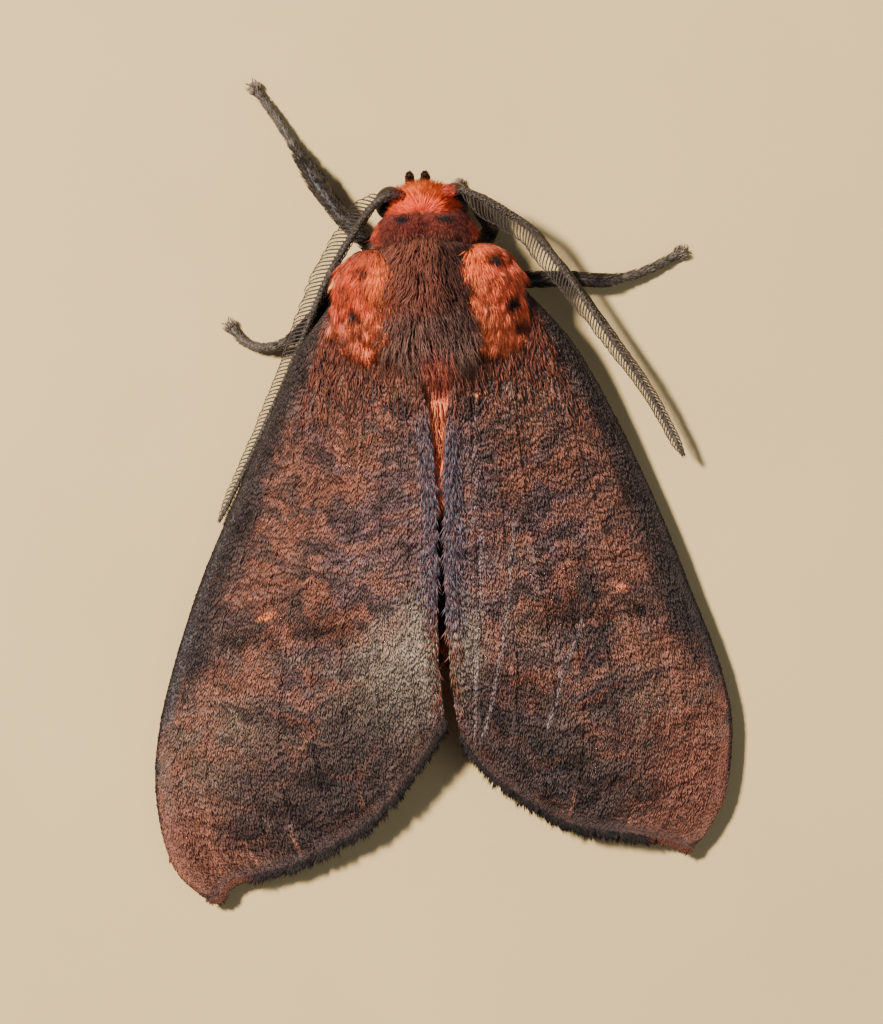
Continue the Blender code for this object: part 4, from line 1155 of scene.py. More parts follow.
WING_FIELDS = {
    "left": [
        ((0.2, 0.4), (0.1, 0.4), WING_RUST, 0.35),
        ((0.14, 0.3), (0.1, 0.3), WING_UMBER, 0.35),
        ((0.14, 0.9), (0.1, 0.16), WING_DARK, 0.75),
        ((0.31, 0.78), (0.06, 0.18), WING_UMBER, 0.6),
        ((0.38, 0.16), (0.1, 0.12), WING_UMBER, 0.5),
        ((0.5, 0.7), (0.15, 0.13), WING_RUST * 0.82, 0.95),
        ((0.4, 0.66), (0.05, 0.12), WING_RUST, 0.7),
        ((0.44, 0.5), (0.06, 0.14), WING_RUST, 0.35),
        ((0.42, 0.9), (0.2, 0.07), WING_DARK * 0.9, 0.95),
        ((0.6, 0.83), (0.07, 0.08), WING_UMBER, 0.6),
        ((0.71, 0.55), (0.05, 0.16), WING_UMBER, 0.5),
        ((0.47, 0.33), (0.07, 0.2), WING_VIOLET, 0.7),
        ((0.58, 0.12), (0.18, 0.1), WING_VIOLET, 0.65),
        ((0.81, 0.13), (0.13, 0.21), WING_GREEN * 1.2, 0.95),
        ((0.76, 0.3), (0.06, 0.15), WING_GREEN, 0.4),
        ((0.77, 0.82), (0.1, 0.17), WING_TAN, 0.85),
        ((0.8, 0.5), (0.07, 0.2), WING_UMBER, 0.5),
        ((0.93, 0.5), (0.085, 0.36), WING_DARK, 0.9),
        ((0.86, 0.62), (0.07, 0.16), WING_UMBER, 0.7),
        ((0.86, 0.38), (0.07, 0.18), WING_DARK, 0.7),
        ((0.92, 0.93), (0.1, 0.1), WING_SALMON * 0.9, 0.97),
        ((0.86, 0.97), (0.06, 0.03), WING_SALMON, 0.5),
    ],
    "right": [
        ((0.2, 0.45), (0.1, 0.3), WING_RUST, 0.3),
        ((0.17, 0.5), (0.1, 0.25), WING_TAN * 1.5, 0.55),
        ((0.13, 0.9), (0.1, 0.16), WING_DARK, 0.75),
        ((0.15, 0.12), (0.07, 0.2), WING_DARK, 0.6),
        ((0.34, 0.8), (0.06, 0.2), WING_UMBER, 0.6),
        ((0.36, 0.3), (0.1, 0.16), WING_UMBER, 0.45),
        ((0.48, 0.74), (0.12, 0.12), WING_RUST, 0.95),
        ((0.55, 0.9), (0.14, 0.06), WING_DARK, 0.85),
        ((0.6, 0.62), (0.07, 0.05), WING_DARK, 0.95),
        ((0.72, 0.56), (0.13, 0.13), WING_DARK, 0.7),
        ((0.43, 0.5), (0.09, 0.08), WING_VIOLET, 0.6),
        ((0.56, 0.12), (0.2, 0.12), WING_VIOLET * 1.35, 0.8),
        ((0.78, 0.07), (0.12, 0.1), WING_GREEN * 0.85, 0.85),
        ((0.66, 0.3), (0.08, 0.12), WING_TAN, 0.5),
        ((0.88, 0.3), (0.08, 0.2), WING_DARK, 0.9),
        ((0.93, 0.5), (0.08, 0.3), WING_DARK, 0.92),
        ((0.89, 0.92), (0.11, 0.13), WING_SALMON * 0.88, 0.95),
        ((0.7, 0.82), (0.1, 0.12), WING_RUST * 0.9, 0.45),
        ((0.7, 0.75), (0.06, 0.1), WING_TAN, 0.35),
    ],
}
WING_CALM = {
    "left": [((0.81, 0.13), (0.13, 0.21)), ((0.92, 0.93), (0.1, 0.1))],
    "right": [((0.78, 0.07), (0.12, 0.1)), ((0.89, 0.92), (0.1, 0.1))],
}
WING_LINES = {
    "left": [
        (((0.14, 0.6), (0.3, 0.6), (0.5, 0.575), (0.62, 0.57)), 0.012, WING_DARK, 0.5),
        (((0.56, 0.57), (0.7, 0.5), (0.85, 0.4)), 0.012, WING_DARK, 0.2),
        (((0.1, 0.42), (0.25, 0.4), (0.36, 0.39)), 0.008, WING_RUST * 1.5, 0.5),
        (((0.88, 0.36), (0.97, 0.41)), 0.006, WING_RUST, 0.5),
        (((0.93, 0.625), (0.985, 0.65)), 0.005, WING_PALE, 0.45),
        (((0.93, 0.765), (0.985, 0.79)), 0.005, WING_PALE, 0.45),
        (((0.86, 0.84), (0.94, 0.87), (0.985, 0.9)), 0.006, WING_PALE, 0.25),
        (((0.8, 0.985), (0.92, 0.985), (0.97, 0.985)), 0.006, WING_PALE, 0.25),
    ],
    "right": [
        (((0.21, 0.2), (0.33, 0.2), (0.5, 0.18)), 0.01, WING_DARK, 0.6),
        (((0.5, 0.18), (0.62, 0.155), (0.8, 0.12), (0.97, 0.1)), 0.006, WING_VEIN, 0.55),
        (((0.45, 0.33), (0.57, 0.29), (0.7, 0.24), (0.85, 0.18), (0.95, 0.13)), 0.006, WING_VEIN, 0.55),
        (((0.62, 0.55), (0.72, 0.45), (0.84, 0.39)), 0.006, WING_VEIN, 0.55),
        (((0.2, 0.17), (0.35, 0.16), (0.5, 0.14)), 0.006, WING_VEIN, 0.4),
        (((0.5, 0.59), (0.6, 0.6), (0.7, 0.62)), 0.014, WING_DARK, 0.5),
        (((0.93, 0.51), (0.985, 0.52)), 0.005, WING_PALE, 0.35),
        (((0.93, 0.72), (0.985, 0.74)), 0.005, WING_PALE, 0.35),
    ],
}
WING_DOTS = {
    "left": [
        ((0.563, 0.69), (0.006, 0.026), WING_SPOT, 0.9),
        ((0.305, 0.275), (0.004, 0.012), WING_SPOT, 0.6),
    ],
    "right": [
        ((0.558, 0.725), (0.006, 0.026), WING_SPOT, 0.9),
        ((0.232, 0.185), (0.006, 0.02), WING_SPOT, 0.9),
    ],
}
BLUE_WIDTH = {"left": 0.05, "right": 0.085}


WING_LENGTH = 29
WING_WIDTH = 13
ROW_SPACING = 0.56


def wing_place(s, t):
    """A place on the wing laid flat, in millimetres, for its shares along and across."""
    return np.stack([s * WING_LENGTH, t * WING_WIDTH, 0 * s], axis=-1)


def near_line(s, t, points, half):
    """1 on a line given as (along, across) points, fading over its half width in the share across."""
    points = np.array(points, float)
    middle = np.interp(s, points[:, 0], points[:, 1])
    run = bump(s, points[0, 0], points[-1, 0], 0.02)
    return run * np.exp(-(((t - middle) / half) ** 2))


def ruffles(s, t):
    """Broken rows of raised scales, from 0 at the foot of a row to 1 at its lip.

    It is the fraction left of a distance along the wing, slanted, bent by lumps and divided by the
    spacing of the rows. A slow lump fades some rows out.
    """
    place = wing_place(s, t)
    bent = place[..., 0] + 0.4 * place[..., 1]
    bent = bent + 0.9 * lumps(place, 1.5, 85) + 0.4 * lumps(place, 0.5, 86)
    saw = (bent / ROW_SPACING) % 1
    strength = np.clip(0.7 + 0.7 * lumps(place, 1.1, 88), 0.15, 1)
    return 0.5 + (saw - 0.5) * strength


def wing_colours(word, s, t):
    """Colour of a forewing at its share along and across."""
    place = wing_place(s, t)
    soft = np.stack([lumps(place, 2.2, 71), lumps(place, 2.2, 72)], axis=-1)
    fine = np.stack([lumps(place, 0.7, 73), lumps(place, 0.7, 74)], axis=-1)
    s_moved = s + 0.02 * soft[..., 0] + 0.012 * fine[..., 0]
    t_moved = t + 0.035 * soft[..., 1] + 0.02 * fine[..., 1]
    slanted = np.stack([place[..., 0] + 0.45 * place[..., 1], place[..., 1], place[..., 2]], axis=-1)
    for move, amount in ((soft, 0.6), (fine, 0.25)):
        slanted = slanted + amount * np.stack([move[..., 1], move[..., 0], 0 * s], axis=-1)
    drift = lumps(slanted + 7, (1.2, 2.4, 1), 77)
    olive = lumps(slanted + 19, (0.9, 1.9, 1), 78)
    fields = [
        (WING_RUST, 0.7 * above(drift, 0.2, 0.25)),
        (WING_VIOLET, 0.6 * below(drift, -0.25, 0.25)),
        (WING_TAN, 0.6 * above(olive, 0.25, 0.25) * bump(s, 0.5, 0.95, 0.15)),
    ]
    fields += ovals(s_moved, t_moved, WING_FIELDS[word], 0.6)
    calm = 1 - 0.75 * np.maximum.reduce([spot(s, t, *area) for area in WING_CALM[word]])
    clumps = lumps(slanted + 31, (0.55, 1.3, 1), 79) * 0.65 + lumps(slanted + 31, (0.22, 0.5, 1), 80) * 0.4
    bars = lumps(slanted, (0.7, 2.0, 1), 75) * 0.75 + lumps(slanted, (0.3, 0.75, 1), 76) * 0.5
    outer = above(s, 0.8, 0.08)
    mottle = [
        (WING_RUST * 1.35, 0.62 * above(clumps, 0.22, 0.16) * calm * (1 - 0.65 * outer)),
        (WING_UMBER, 0.7 * above(-clumps, 0.22, 0.16) * calm),
        (WING_DARK, 0.45 * above(bars, 0.25, 0.35) * calm),
    ]
    colours = painted(plain(WING_BROWN, s.shape), fields + mottle)
    colours = colours * (1 + 0.62 * bars * calm)[..., None]
    costa = above(t + 0.02 * soft[..., 0] + 0.03 * clumps, 0.87, 0.06)
    blue = bump(s, 0.3, 0.74, 0.12) * below(t, BLUE_WIDTH[word], 0.06)
    rims = [
        (WING_DARK * 1.05, 0.9 * costa * below(s, 0.66, 0.1)),
        (WING_DARK * 1.1, 0.9 * above(t, 0.955, 0.03) * below(s, 0.72, 0.1)),
        (WING_DARK * 0.5, 0.9 * above(t, 0.99, 0.01) * below(s, 0.86, 0.05)),
        (WING_BLUE, 0.75 * blue * (0.6 + 0.4 * fine[..., 0])),
    ]
    t_near = t + 0.004 * fine[..., 1]
    lines = [
        (colour, share * near_line(s, t_near, points, half))
        for points, half, colour, share in WING_LINES[word]
    ]
    dots = ovals(s, t, WING_DOTS[word], 0.4)
    end = [(WING_DARK, 0.6 * above(s, 0.975, 0.015))]
    return painted(colours, rims + lines + dots + end)


for word in SIDES:
    top, under = WINGS[word]["top"], WINGS[word]["under"]
    s, t = np.meshgrid(ALONG, ACROSS, indexing="ij")
    marked = wing_colours(word, s, t).reshape(-1, 3)
    # Painted shade: the upper skin is painted darker than its scales, as the shade among them; the lower
    # side is a darker rust brown.
    both = np.vstack([marked * 0.85, marked * 0.4 + WING_RUST * 0.3])
    piece(
        f"forewing_skin_{word}", shell_form(top, under, both), WING_SKIN,
        (f"forewing_{word}",),
    )

# %% [markdown]
# ## Wing scales
#
# Scales are set in the film in rows and lie towards the outer margin, each over the root of the next.
# On this moth they are narrow and half raised, which gives the wing its woolly, ruffled look. The
# flakes are scattered evenly, and a smooth noise stretched across the wing lifts some rows more than
# others. Each wing takes two pieces, near and far, so that neither grows too heavy.

# %% Upper scales
def wing_scales(word, low, high, count, rng):
    """Flakes on the upper side between two shares along the wing."""
    grid = WINGS[word]["top"]
    middle = (ALONG[:-1] + ALONG[1:]) / 2
    share = ((middle >= low) & (middle < high))[:, None] * np.ones((1, WING_COLUMNS - 1))
    places, out, u, v = scatter(grid, count, rng, share)
    out = out * np.where(out[:, 2:] < 0, -1, 1)
    tangent = unit(np.gradient(grid, axis=0))
    row = np.clip((u * (WING_ROWS - 1)).astype(int), 0, WING_ROWS - 1)
    column = np.clip((v * (WING_COLUMNS - 1)).astype(int), 0, WING_COLUMNS - 1)
    lie = wisps(places, tangent[row, column], 0.6, 81, 0.22)
    lip = ruffles(u, v)
    inner = below(v, 0.06, 0.06) * bump(u, 0.25, 0.85, 0.2)
    rim = np.maximum(above(v, 0.95, 0.04), above(u, 0.965, 0.03))
    rise = (0.04 + 0.3 * lip) * (1 - 0.7 * rim)
    length = rng.uniform(0.24, 0.42, count) * (1 + 0.5 * inner) * (1 - 0.45 * rim)
    # Painted light and shade: flakes at a row's lip are lighter and at its foot darker, as light on the
    # raised lips and shade below.
    tint = wing_colours(word, u, v) * (0.74 + 0.54 * lip)[:, None]
    grey = tint.mean(axis=1, keepdims=True)
    tint = tint + (grey * 1.15 - tint) * rng.uniform(0, 0.22, (count, 1))
    tint = tint * np.exp(rng.normal(0, 0.14, (count, 1)))
    return flakes(places, out, lie, u, v, length, rng.uniform(0.05, 0.08, count), rise, tint, rng)


NEAR_END = 0.56
NEAR_SCALES = 36000
FAR_SCALES = 34000
rng = np.random.default_rng(105)
for word in SIDES:
    near = wing_scales(word, 0.0, NEAR_END, NEAR_SCALES, rng)
    piece(f"wing_scales_near_{word}", near, WING_SCALES, smooth=False)
    far = wing_scales(word, NEAR_END, 1.0, FAR_SCALES, rng)
    piece(f"wing_scales_far_{word}", far, WING_SCALES, smooth=False)


# %% [markdown]
# ## Fringes and margin hair
#
# The outer margin ends in a fringe of long thin scales that stand straight out from the edge, and
# the inner margin carries long violet grey hair, since that edge keeps the air out between the
# folded wings. Both are tufts rooted along one line of the wing.

# %% Fringe and margin hair
MARGIN_LENGTH = 30


def edge_tufts(word, s, t, lie, length, width, rise, tint, rng):
    """Tufts rooted on the upper side at given shares along and across."""
    grid = WINGS[word]["top"]
    row, column = s * (WING_ROWS - 1), t * (WING_COLUMNS - 1)
    i = np.clip(row.astype(int), 0, WING_ROWS - 2)
    j = np.clip(column.astype(int), 0, WING_COLUMNS - 2)
    p, q = (row - i)[:, None], (column - j)[:, None]
    places = (1 - p) * (1 - q) * grid[i, j] + p * (1 - q) * grid[i + 1, j]
    places = places + (1 - p) * q * grid[i, j + 1] + p * q * grid[i + 1, j + 1]
    out = np.cross(grid[i + 1, j] - grid[i, j], grid[i, j + 1] - grid[i, j])
    out = unit(out * np.where(out[:, 2:] < 0, -1, 1))
    return tufts(places, out, lie, s, t, length, width, rise, tint, rng)


def fringe(word, count, rng):
    """Dark hair scales that stand out from the outer margin and round the two corners."""
    sign = SIDES[word]
    t = rng.random(count)
    s = 1 - rng.uniform(0, 0.01, count)
    fan = np.stack([sign * (0.15 + 1.1 * (t - 0.45)), np.ones(count), np.full(count, -0.05)], axis=1)
    place = np.stack([t * MARGIN_LENGTH, 0 * t, 0 * t], axis=1)
    fan = wisps(place, unit(fan), 0.4, 91, 0.3)
    tip = above(t, 0.84, 0.1)
    length = rng.uniform(0.32, 0.7, count) * (1 - 0.72 * tip)
    dark = WING_DARK * 0.5 * (1 - tip)[:, None] + WING_SALMON * 0.55 * tip[:, None]
    tint = dark * rng.uniform(0.5, 1.4, (count, 1))
    return edge_tufts(word, s, t, fan, length, rng.uniform(0.04, 0.07, count), 0.08, tint, rng)


def margin_hair(word, count, rng):
    """Violet grey hair along the inner margin, thickest a third to three quarters of the way back."""
    sign = SIDES[word]
    s = np.clip(rng.normal(0.5, 0.16, count), 0.15, 0.93)
    t = np.abs(rng.normal(0, 0.03, count))
    lie = np.stack([sign * rng.uniform(-0.35, 0.3, count), np.ones(count), 0.02 * np.ones(count)], axis=1)
    lie = wisps(wing_place(s, t), lie, 0.5, 93, 0.3)
    blue = (rng.random(count) < 0.5)[:, None]
    tint = np.where(blue, WING_BLUE * 1.25, WING_VIOLET * 1.2) * np.exp(rng.normal(0, 0.3, (count, 1)))
    brown = (below(s, 0.3, 0.1) + above(s, 0.75, 0.1))[:, None]
    tint = tint * (1 - brown) + WING_BROWN * brown * 1.2
    length = rng.uniform(0.5, 0.9, count)
    return edge_tufts(word, s, t, lie, length, rng.uniform(0.04, 0.07, count), 0.3, tint, rng)


def base_hair(word, count, rng):
    """Brown hair over the wing root, which carries the back's coat on to the wing."""
    s = np.abs(rng.normal(0.0, 0.09, count)) + 0.04
    t = rng.uniform(0, 0.8, count)
    lie = np.tile([0.0, 1.0, 0.0], (count, 1))
    lie = wisps(wing_place(s, t), lie, 0.5, 94, 0.4)
    tint = BROWN * 0.85 * np.exp(rng.normal(0, 0.2, (count, 1)))
    length = rng.uniform(0.5, 1.1, count)
    return edge_tufts(word, s, t, lie, length, rng.uniform(0.045, 0.075, count), 0.3, tint, rng)


EDGE_HAIR = ((fringe, 2400), (margin_hair, 1400), (base_hair, 1600))
rng = np.random.default_rng(106)
for word in SIDES:
    hair = joined([grow(word, count, rng) for grow, count in EDGE_HAIR])
    piece(f"wing_fringe_{word}", hair, WING_SCALES)

# %% [markdown]
# ## Hindwings and undersides
#
# The hindwings lie folded under the forewings, so only their underside and their hind edge can be
# seen, from low down or from below. They are the same kind of sheet, kept a millimetre below the
# roof. Their colour can't be read from the photograph; a plain pale rose brown is a fair guess.

# %% Hindwings
HINDWING_OUTLINE = {
    "costa": [(4.3, -8.2), (6.6, -3.4), (8.4, 1.4), (9.3, 5.6), (8.9, 9.2)],
    "inner": [(2.9, -7.6), (1.5, -4.6), (1.25, 0.0), (1.35, 4.0), (1.7, 7.2)],
    "outer": [(1.7, 7.2), (3.2, 10.0), (5.4, 11.6), (7.6, 11.2), (8.9, 9.2)],
}
HINDWING_DROP = 0.95
HINDWING_ROSE = np.array([0.42, 0.2, 0.14])
HINDWING_SCALES = 5000
UNDERWING_SCALES = 6500


def rose_colours(s, t):
    """The hindwing's pale rose brown, darker towards its outer margin."""
    return blend(plain(HINDWING_ROSE, s.shape), WING_UMBER, 0.5 * above(s, 0.85, 0.15))


def underside_colours(s, t):
    """The forewing's brown underside, paler towards its inner margin."""
    return blend(plain(WING_BROWN * 1.2, s.shape), HINDWING_ROSE, 0.5 * below(t, 0.4, 0.3))


def under_scales(grid, colours, count, rng):
    """Flakes on a grid that faces down, lying along its rows."""
    places, out, u, v = scatter(grid, count, rng)
    out = out * np.where(out[:, 2:] > 0, -1, 1)
    tangent = unit(np.gradient(grid, axis=0))
    row = (u * (grid.shape[0] - 1)).astype(int)
    column = (v * (grid.shape[1] - 1)).astype(int)
    lie = wisps(places, tangent[row, column], 0.6, 95, 0.2)
    tint = colours(u, v) * np.exp(rng.normal(0, 0.25, (count, 1)))
    length = rng.uniform(0.3, 0.5, count)
    return flakes(places, out, lie, u, v, length, rng.uniform(0.1, 0.16, count), 0.2, tint, rng)


rng = np.random.default_rng(107)
for word, sign in SIDES.items():
    outline = {key: [(sign * x, y) for x, y in line] for key, line in HINDWING_OUTLINE.items()}
    along, across = np.linspace(0, 1, 90), np.linspace(0, 1, 70)
    plan = patch(outline, along, across)
    height = roof(plan[..., 0], plan[..., 1]) - HINDWING_DROP
    sheet = np.concatenate([plan, height[..., None]], axis=-1)
    sheet[..., 2] += 0.05 * np.sin(across * 2 * np.pi * 6)[None] * np.sqrt(along)[:, None]
    thin = np.array([0, 0, SKIN_HALF])
    s, t = np.meshgrid(along, across, indexing="ij")
    marked = rose_colours(s, t).reshape(-1, 3)
    shell = shell_form(sheet + thin, sheet - thin, np.vstack([marked, marked]))
    piece(f"hindwing_skin_{word}", shell, WING_SKIN, (f"hindwing_{word}",))
    lower = under_scales(sheet - thin, rose_colours, HINDWING_SCALES, rng)
    piece(f"hindwing_scales_{word}", lower, WING_SCALES, smooth=False)
    below_wing = under_scales(WINGS[word]["under"], underside_colours, UNDERWING_SCALES, rng)
    piece(f"underwing_scales_{word}", below_wing, WING_SCALES, smooth=False)

# %% [markdown]
# ## Eyes
#
# A moth's eye is a dome of thousands of tiny lenses. From a hand's width away they melt into one
# shining black ball with a fine grain, so the ball is a smooth grid and the lenses are a bump of
# close cells. A clear coat gives the wet looking highlight.

# %% Eyes
def ball(centre, radii, rows=48, columns=72):
    """An egg shape: centre + radii x (sin p cos a, sin p sin a, cos p)."""
    p = np.linspace(0.02, np.pi - 0.02, rows)[:, None]
    a = np.linspace(0, 2 * np.pi, columns + 1)[None]
    grid = np.stack([np.sin(p) * np.cos(a), np.sin(p) * np.sin(a), np.cos(p) + 0 * a], axis=-1)
    return form(*closed_loft(grid * radii + centre))


EYE = finish(
    "eye", (0.008, 0.006, 0.005), roughness=0.34, speck=9000, spread=(0.6, 1.6), grain_size=26000,
    grain_depth=0.000006, coat=0.06, specular=0.14,
)
for word, sign in SIDES.items():
    eye = ball(EYE_CENTRE * [sign, 1, 1], EYE_RADII)
    piece(f"eye_ball_{word}", eye, EYE, (f"eye_{word}",))


# %% [markdown]
# ## Feelers
#
# A tiger moth's feeler is a comb. A shaft of more than eighty joints carries on each joint two
# branches that slant towards the tip, and each branch is lined with fine bristles. The shaft is a
# tube whose radius swells a little at every joint. The branches are many thin tubes worked out in
# one go as one big array: a path and a radius for each, and a four-sided ring at each place.
#
# The two feelers are turned about their own length. The left one has its outer comb spread wide and
# its inner comb folded down beside the shaft. The right one is the other way round near its base,
# and its two combs grow alike towards the tip.

# %% Many tubes at once
def many_tubes(paths, radii, reference, colours, sides=4):
    """Closed tubes along many paths of the same number of places, as one form.

    paths holds a row of places for each tube, radii a radius for each place, and reference a
    direction for each tube that its path never follows.
    """
    count, places = paths.shape[:2]
    along = unit(np.gradient(paths, axis=1))
    side = unit(np.cross(along, reference[:, None]))
    top = np.cross(side, along)
    turn = np.linspace(0, 2 * np.pi, sides, endpoint=False)[None, None, :, None]
    ring = np.cos(turn) * side[:, :, None] + np.sin(turn) * top[:, :, None]
    points = paths[:, :, None] + ring * radii[:, :, None, None]
    each = places * sides
    start = np.arange(count)[:, None] * each
    wall = grid_quads(places, sides, wrap=True)[:, ::-1]
    walls = (start[:, :, None] + wall[None]).reshape(-1, 4)
    first = np.arange(sides)
    ends = np.concatenate([start + first[None], start + each - 1 - first[None]])
    tints = np.repeat(colours.reshape(-1, 3), sides, axis=0)
    return form(points.reshape(-1, 3), [walls, ends], tints)


# %% [markdown]
# ## Both feelers
#
# The two paths were traced in the photograph. Their heights are a guess, helped by how far each
# feeler's shadow falls from it. Every branch starts at a joint of the path, so that shaft and combs
# stay together.

# %% Feeler paths
ANTENNA_PATHS = {
    "left": [
        (1.2, -13.98, 4.78), (1.85, -13.92, 4.95), (2.65, -13.3, 4.5), (3.55, -12.2, 3.6),
        (4.55, -10.75, 3.05), (5.45, -9.1, 2.7), (6.3, -7.3, 2.2), (7.2, -5.5, 1.35),
        (8.15, -3.7, 0.85), (9.5, -1.2, 0.62), (10.95, 1.4, 0.5),
    ],
    "right": [
        (-1.15, -14.0, 4.78), (-1.85, -14.02, 4.83), (-2.85, -13.6, 4.45), (-4.05, -12.88, 3.75),
        (-5.2, -12.0, 3.2), (-6.1, -10.8, 2.85), (-7.05, -9.4, 2.65), (-8.9, -6.45, 2.25),
        (-10.7, -3.5, 1.9), (-12.1, -0.55, 1.7),
    ],
}
ANTENNA_JOINTS = 86
SHAFT_RADIUS = 0.13
BRANCH_RADIUS = 0.047
BRISTLES = 12
SHAFT_SCALES = 3600
FLOOR_GAP = 0.2
BRANCH_LENGTH = {"left": 1.25, "right": 1.3}
BRANCH_SWEEP = {"left": math.radians(34), "right": math.radians(32)}
FOLDED_SWEEP = math.radians(66)
ANTENNA_SHAFT = np.array([0.135, 0.098, 0.072])
ANTENNA_DOT = np.array([0.04, 0.027, 0.019])
ANTENNA_BRANCH = np.array([0.055, 0.037, 0.027])


def feeler_shaft(word, path):
    """The beaded shaft: its radius at each place, its colours, and its form."""
    share = np.linspace(0, 1, len(path))
    joint = share * ANTENNA_JOINTS
    beads = 1 + 0.13 * np.abs(np.sin(np.pi * joint)) ** 0.7
    radii = SHAFT_RADIUS * beads * (1.25 - 0.75 * share) * np.clip((1 - share) * 40 + 0.25, 0, 1)
    dots = np.exp(-(((joint % 1 - 0.5) / 0.22) ** 2))
    tints = blend(plain(ANTENNA_SHAFT, share.shape), ANTENNA_DOT, 0.75 * dots)
    # Painted shade: the left shaft is painted darker, most near the head, as the shade there; the right one
    # is a tenth darker all along.
    tints = tints * (0.45 + 0.3 * share[:, None] if word == "left" else 0.9)
    shaft = tube(path, radii * (0.8 if word == "right" else 1), 12, colours=tints)
    return radii, tints, shaft


def branch_shape(word, outside, rows):
    """Droop, spread, sweep and brightness of each branch of one row, for its share along the shaft.

    A spread branch stands out flat, and a folded one drops and lies back along the shaft. The right
    feeler's two rows grow alike towards its tip.
    """
    opened = outside if word == "left" else ~outside
    even = np.clip(rows * 2.2 - 0.6, 0, 1) * (word == "right")
    droop = np.where(opened, 0.15, 0.9 - 0.6 * even)
    spread = np.where(opened, 1.0 - 0.15 * even, 0.75 - 0.05 * even)
    sweep = np.where(opened, BRANCH_SWEEP[word] + 0.2 * even, FOLDED_SWEEP - 0.4 * even)
    # Painted shade: the left feeler's branches near the head are painted darker, as the shade there; the
    # right one's folded branches are tinted lighter.
    if word == "left":
        light = np.clip(0.3 + 2.6 * rows, 0, 1)
    else:
        light = np.where(opened, 1, 1.6)
    return droop, spread, sweep, light


def comb(word, hand, path, rng):
    """One row of branches, on the side of the shaft that hand gives, and the bristles on them.

    A branch leaves the shaft at its joint, slants towards the tip by the sweep, bends on by the
    fourth power of the share along it, and droops by the power 1.2 of that share.
    """
    along, side, top = path_frame(path, np.array([0.0, 0.0, 1.0]))
    rows = (np.arange(2, ANTENNA_JOINTS) + 0.35) / ANTENNA_JOINTS
    at = (rows * (len(path) - 1)).astype(int)
    reach = BRANCH_LENGTH[word] * np.clip(rows * 12 + 0.3, 0, 1) * np.clip((1.02 - rows) * 12, 0.35, 1)
    reach = reach * (1 - 0.5 * np.clip(rows * 1.5 - 0.4, 0, 1))
    if word == "left":
        reach = reach * (1 - 0.25 * np.clip(rows * 2 - 0.9, 0, 1))
    outer = hand * side[at]
    outside = np.sign(outer[:, 0]) == np.sign(path[at, 0])
    droop, spread, sweep, light = branch_shape(word, outside, rows)
    reach = reach * rng.uniform(0.92, 1.05, len(at))
    room = (path[at, 2] - FLOOR_GAP) / np.maximum(reach, 0.05)
    droop = np.minimum(droop, np.maximum(room, 0))[:, None]
    step = np.linspace(0, 1, 7)[None, :, None]
    sweep = sweep[:, None, None] + 0.3 * step**4
    lead = np.cos(sweep) * outer[:, None] * spread[:, None, None] + np.sin(sweep) * along[at][:, None]
    fall = -droop[:, None] * step**1.2 * top[at][:, None]
    paths = path[at][:, None] + (lead * step + fall) * reach[:, None, None]
    thick = BRANCH_RADIUS * (1.05 - 0.6 * step[..., 0]) * np.ones((len(at), 1))
    root = np.broadcast_to(step[..., 0] < 0.12, paths.shape[:2])
    shade = blend(plain(ANTENNA_BRANCH, paths.shape[:2]), ANTENNA_DOT * 1.6, 0.5 * root)
    branches = many_tubes(paths, thick, top[at], shade * light[:, None, None])
    bristles = []
    for q in 0.12 + 0.85 * np.arange(BRISTLES) / BRISTLES:
        base = paths[:, 0] * (1 - q) + paths[:, -1] * q
        lie = along[at] * 1.0 + rng.normal(0, 0.25, base.shape) - top[at] * 0.2
        length = rng.uniform(0.12, 0.2, len(at))
        tint = np.tile(ANTENNA_DOT * 1.4, (len(at), 1)) * rng.uniform(0.7, 1.3, (len(at), 1))
        bristles.append(flakes(base, top[at], lie, rows, rows, length, 0.02, 0.1, tint, rng))
    return branches, joined(bristles)


def shaft_scales(path, radii, tints, count, rng):
    """Small scales all round the shaft, lying towards its tip."""
    along, side, top = path_frame(path, np.array([0.0, 0.0, 1.0]))
    row = (rng.random(count) * (len(path) - 2)).astype(int)
    turn = rng.uniform(0, 2 * np.pi, count)[:, None]
    out = side[row] * np.cos(turn) + top[row] * np.sin(turn)
    places = path[row] + out * radii[row][:, None] * 0.93
    tint = tints[row] * rng.uniform(0.6, 1.7, (count, 1))
    length = rng.uniform(0.09, 0.17, count)
    share = np.linspace(0, 1, len(path))[row]
    return flakes(places, out, along[row], share, share, length, 0.05, 0.3, tint, rng)


ANTENNA = finish("feeler", roughness=0.6, speck=8000, spread=(0.75, 1.2), specular=0.3)
rng = np.random.default_rng(108)
for word in SIDES:
    path = smooth_path(ANTENNA_PATHS[word], ANTENNA_JOINTS * 6 + 8)[8:]
    radii, tints, shaft = feeler_shaft(word, path)
    combs = [comb(word, hand, path, rng) for hand in (-1, 1)]
    scales = shaft_scales(path, radii, tints, SHAFT_SCALES, rng)
    feeler = joined([shaft] + [branches for branches, _ in combs])
    bristles = joined([hair for _, hair in combs] + [scales])
    piece(f"feeler_{word}", feeler, ANTENNA, (f"antenna_{word}",))
    piece(f"feeler_bristles_{word}", bristles, ANTENNA, smooth=False)


# %% [markdown]
# ## Tube coats
#
# Legs, mouthparts and feeler bases are tubes with hair on them. The hair roots are scattered over
# the tube's length and round it, and lie towards the tip. A leg is named by a few points with a
# radius each; the radius of the hard leg inside is a share of that, and its foot is a chain of five
# short joints.

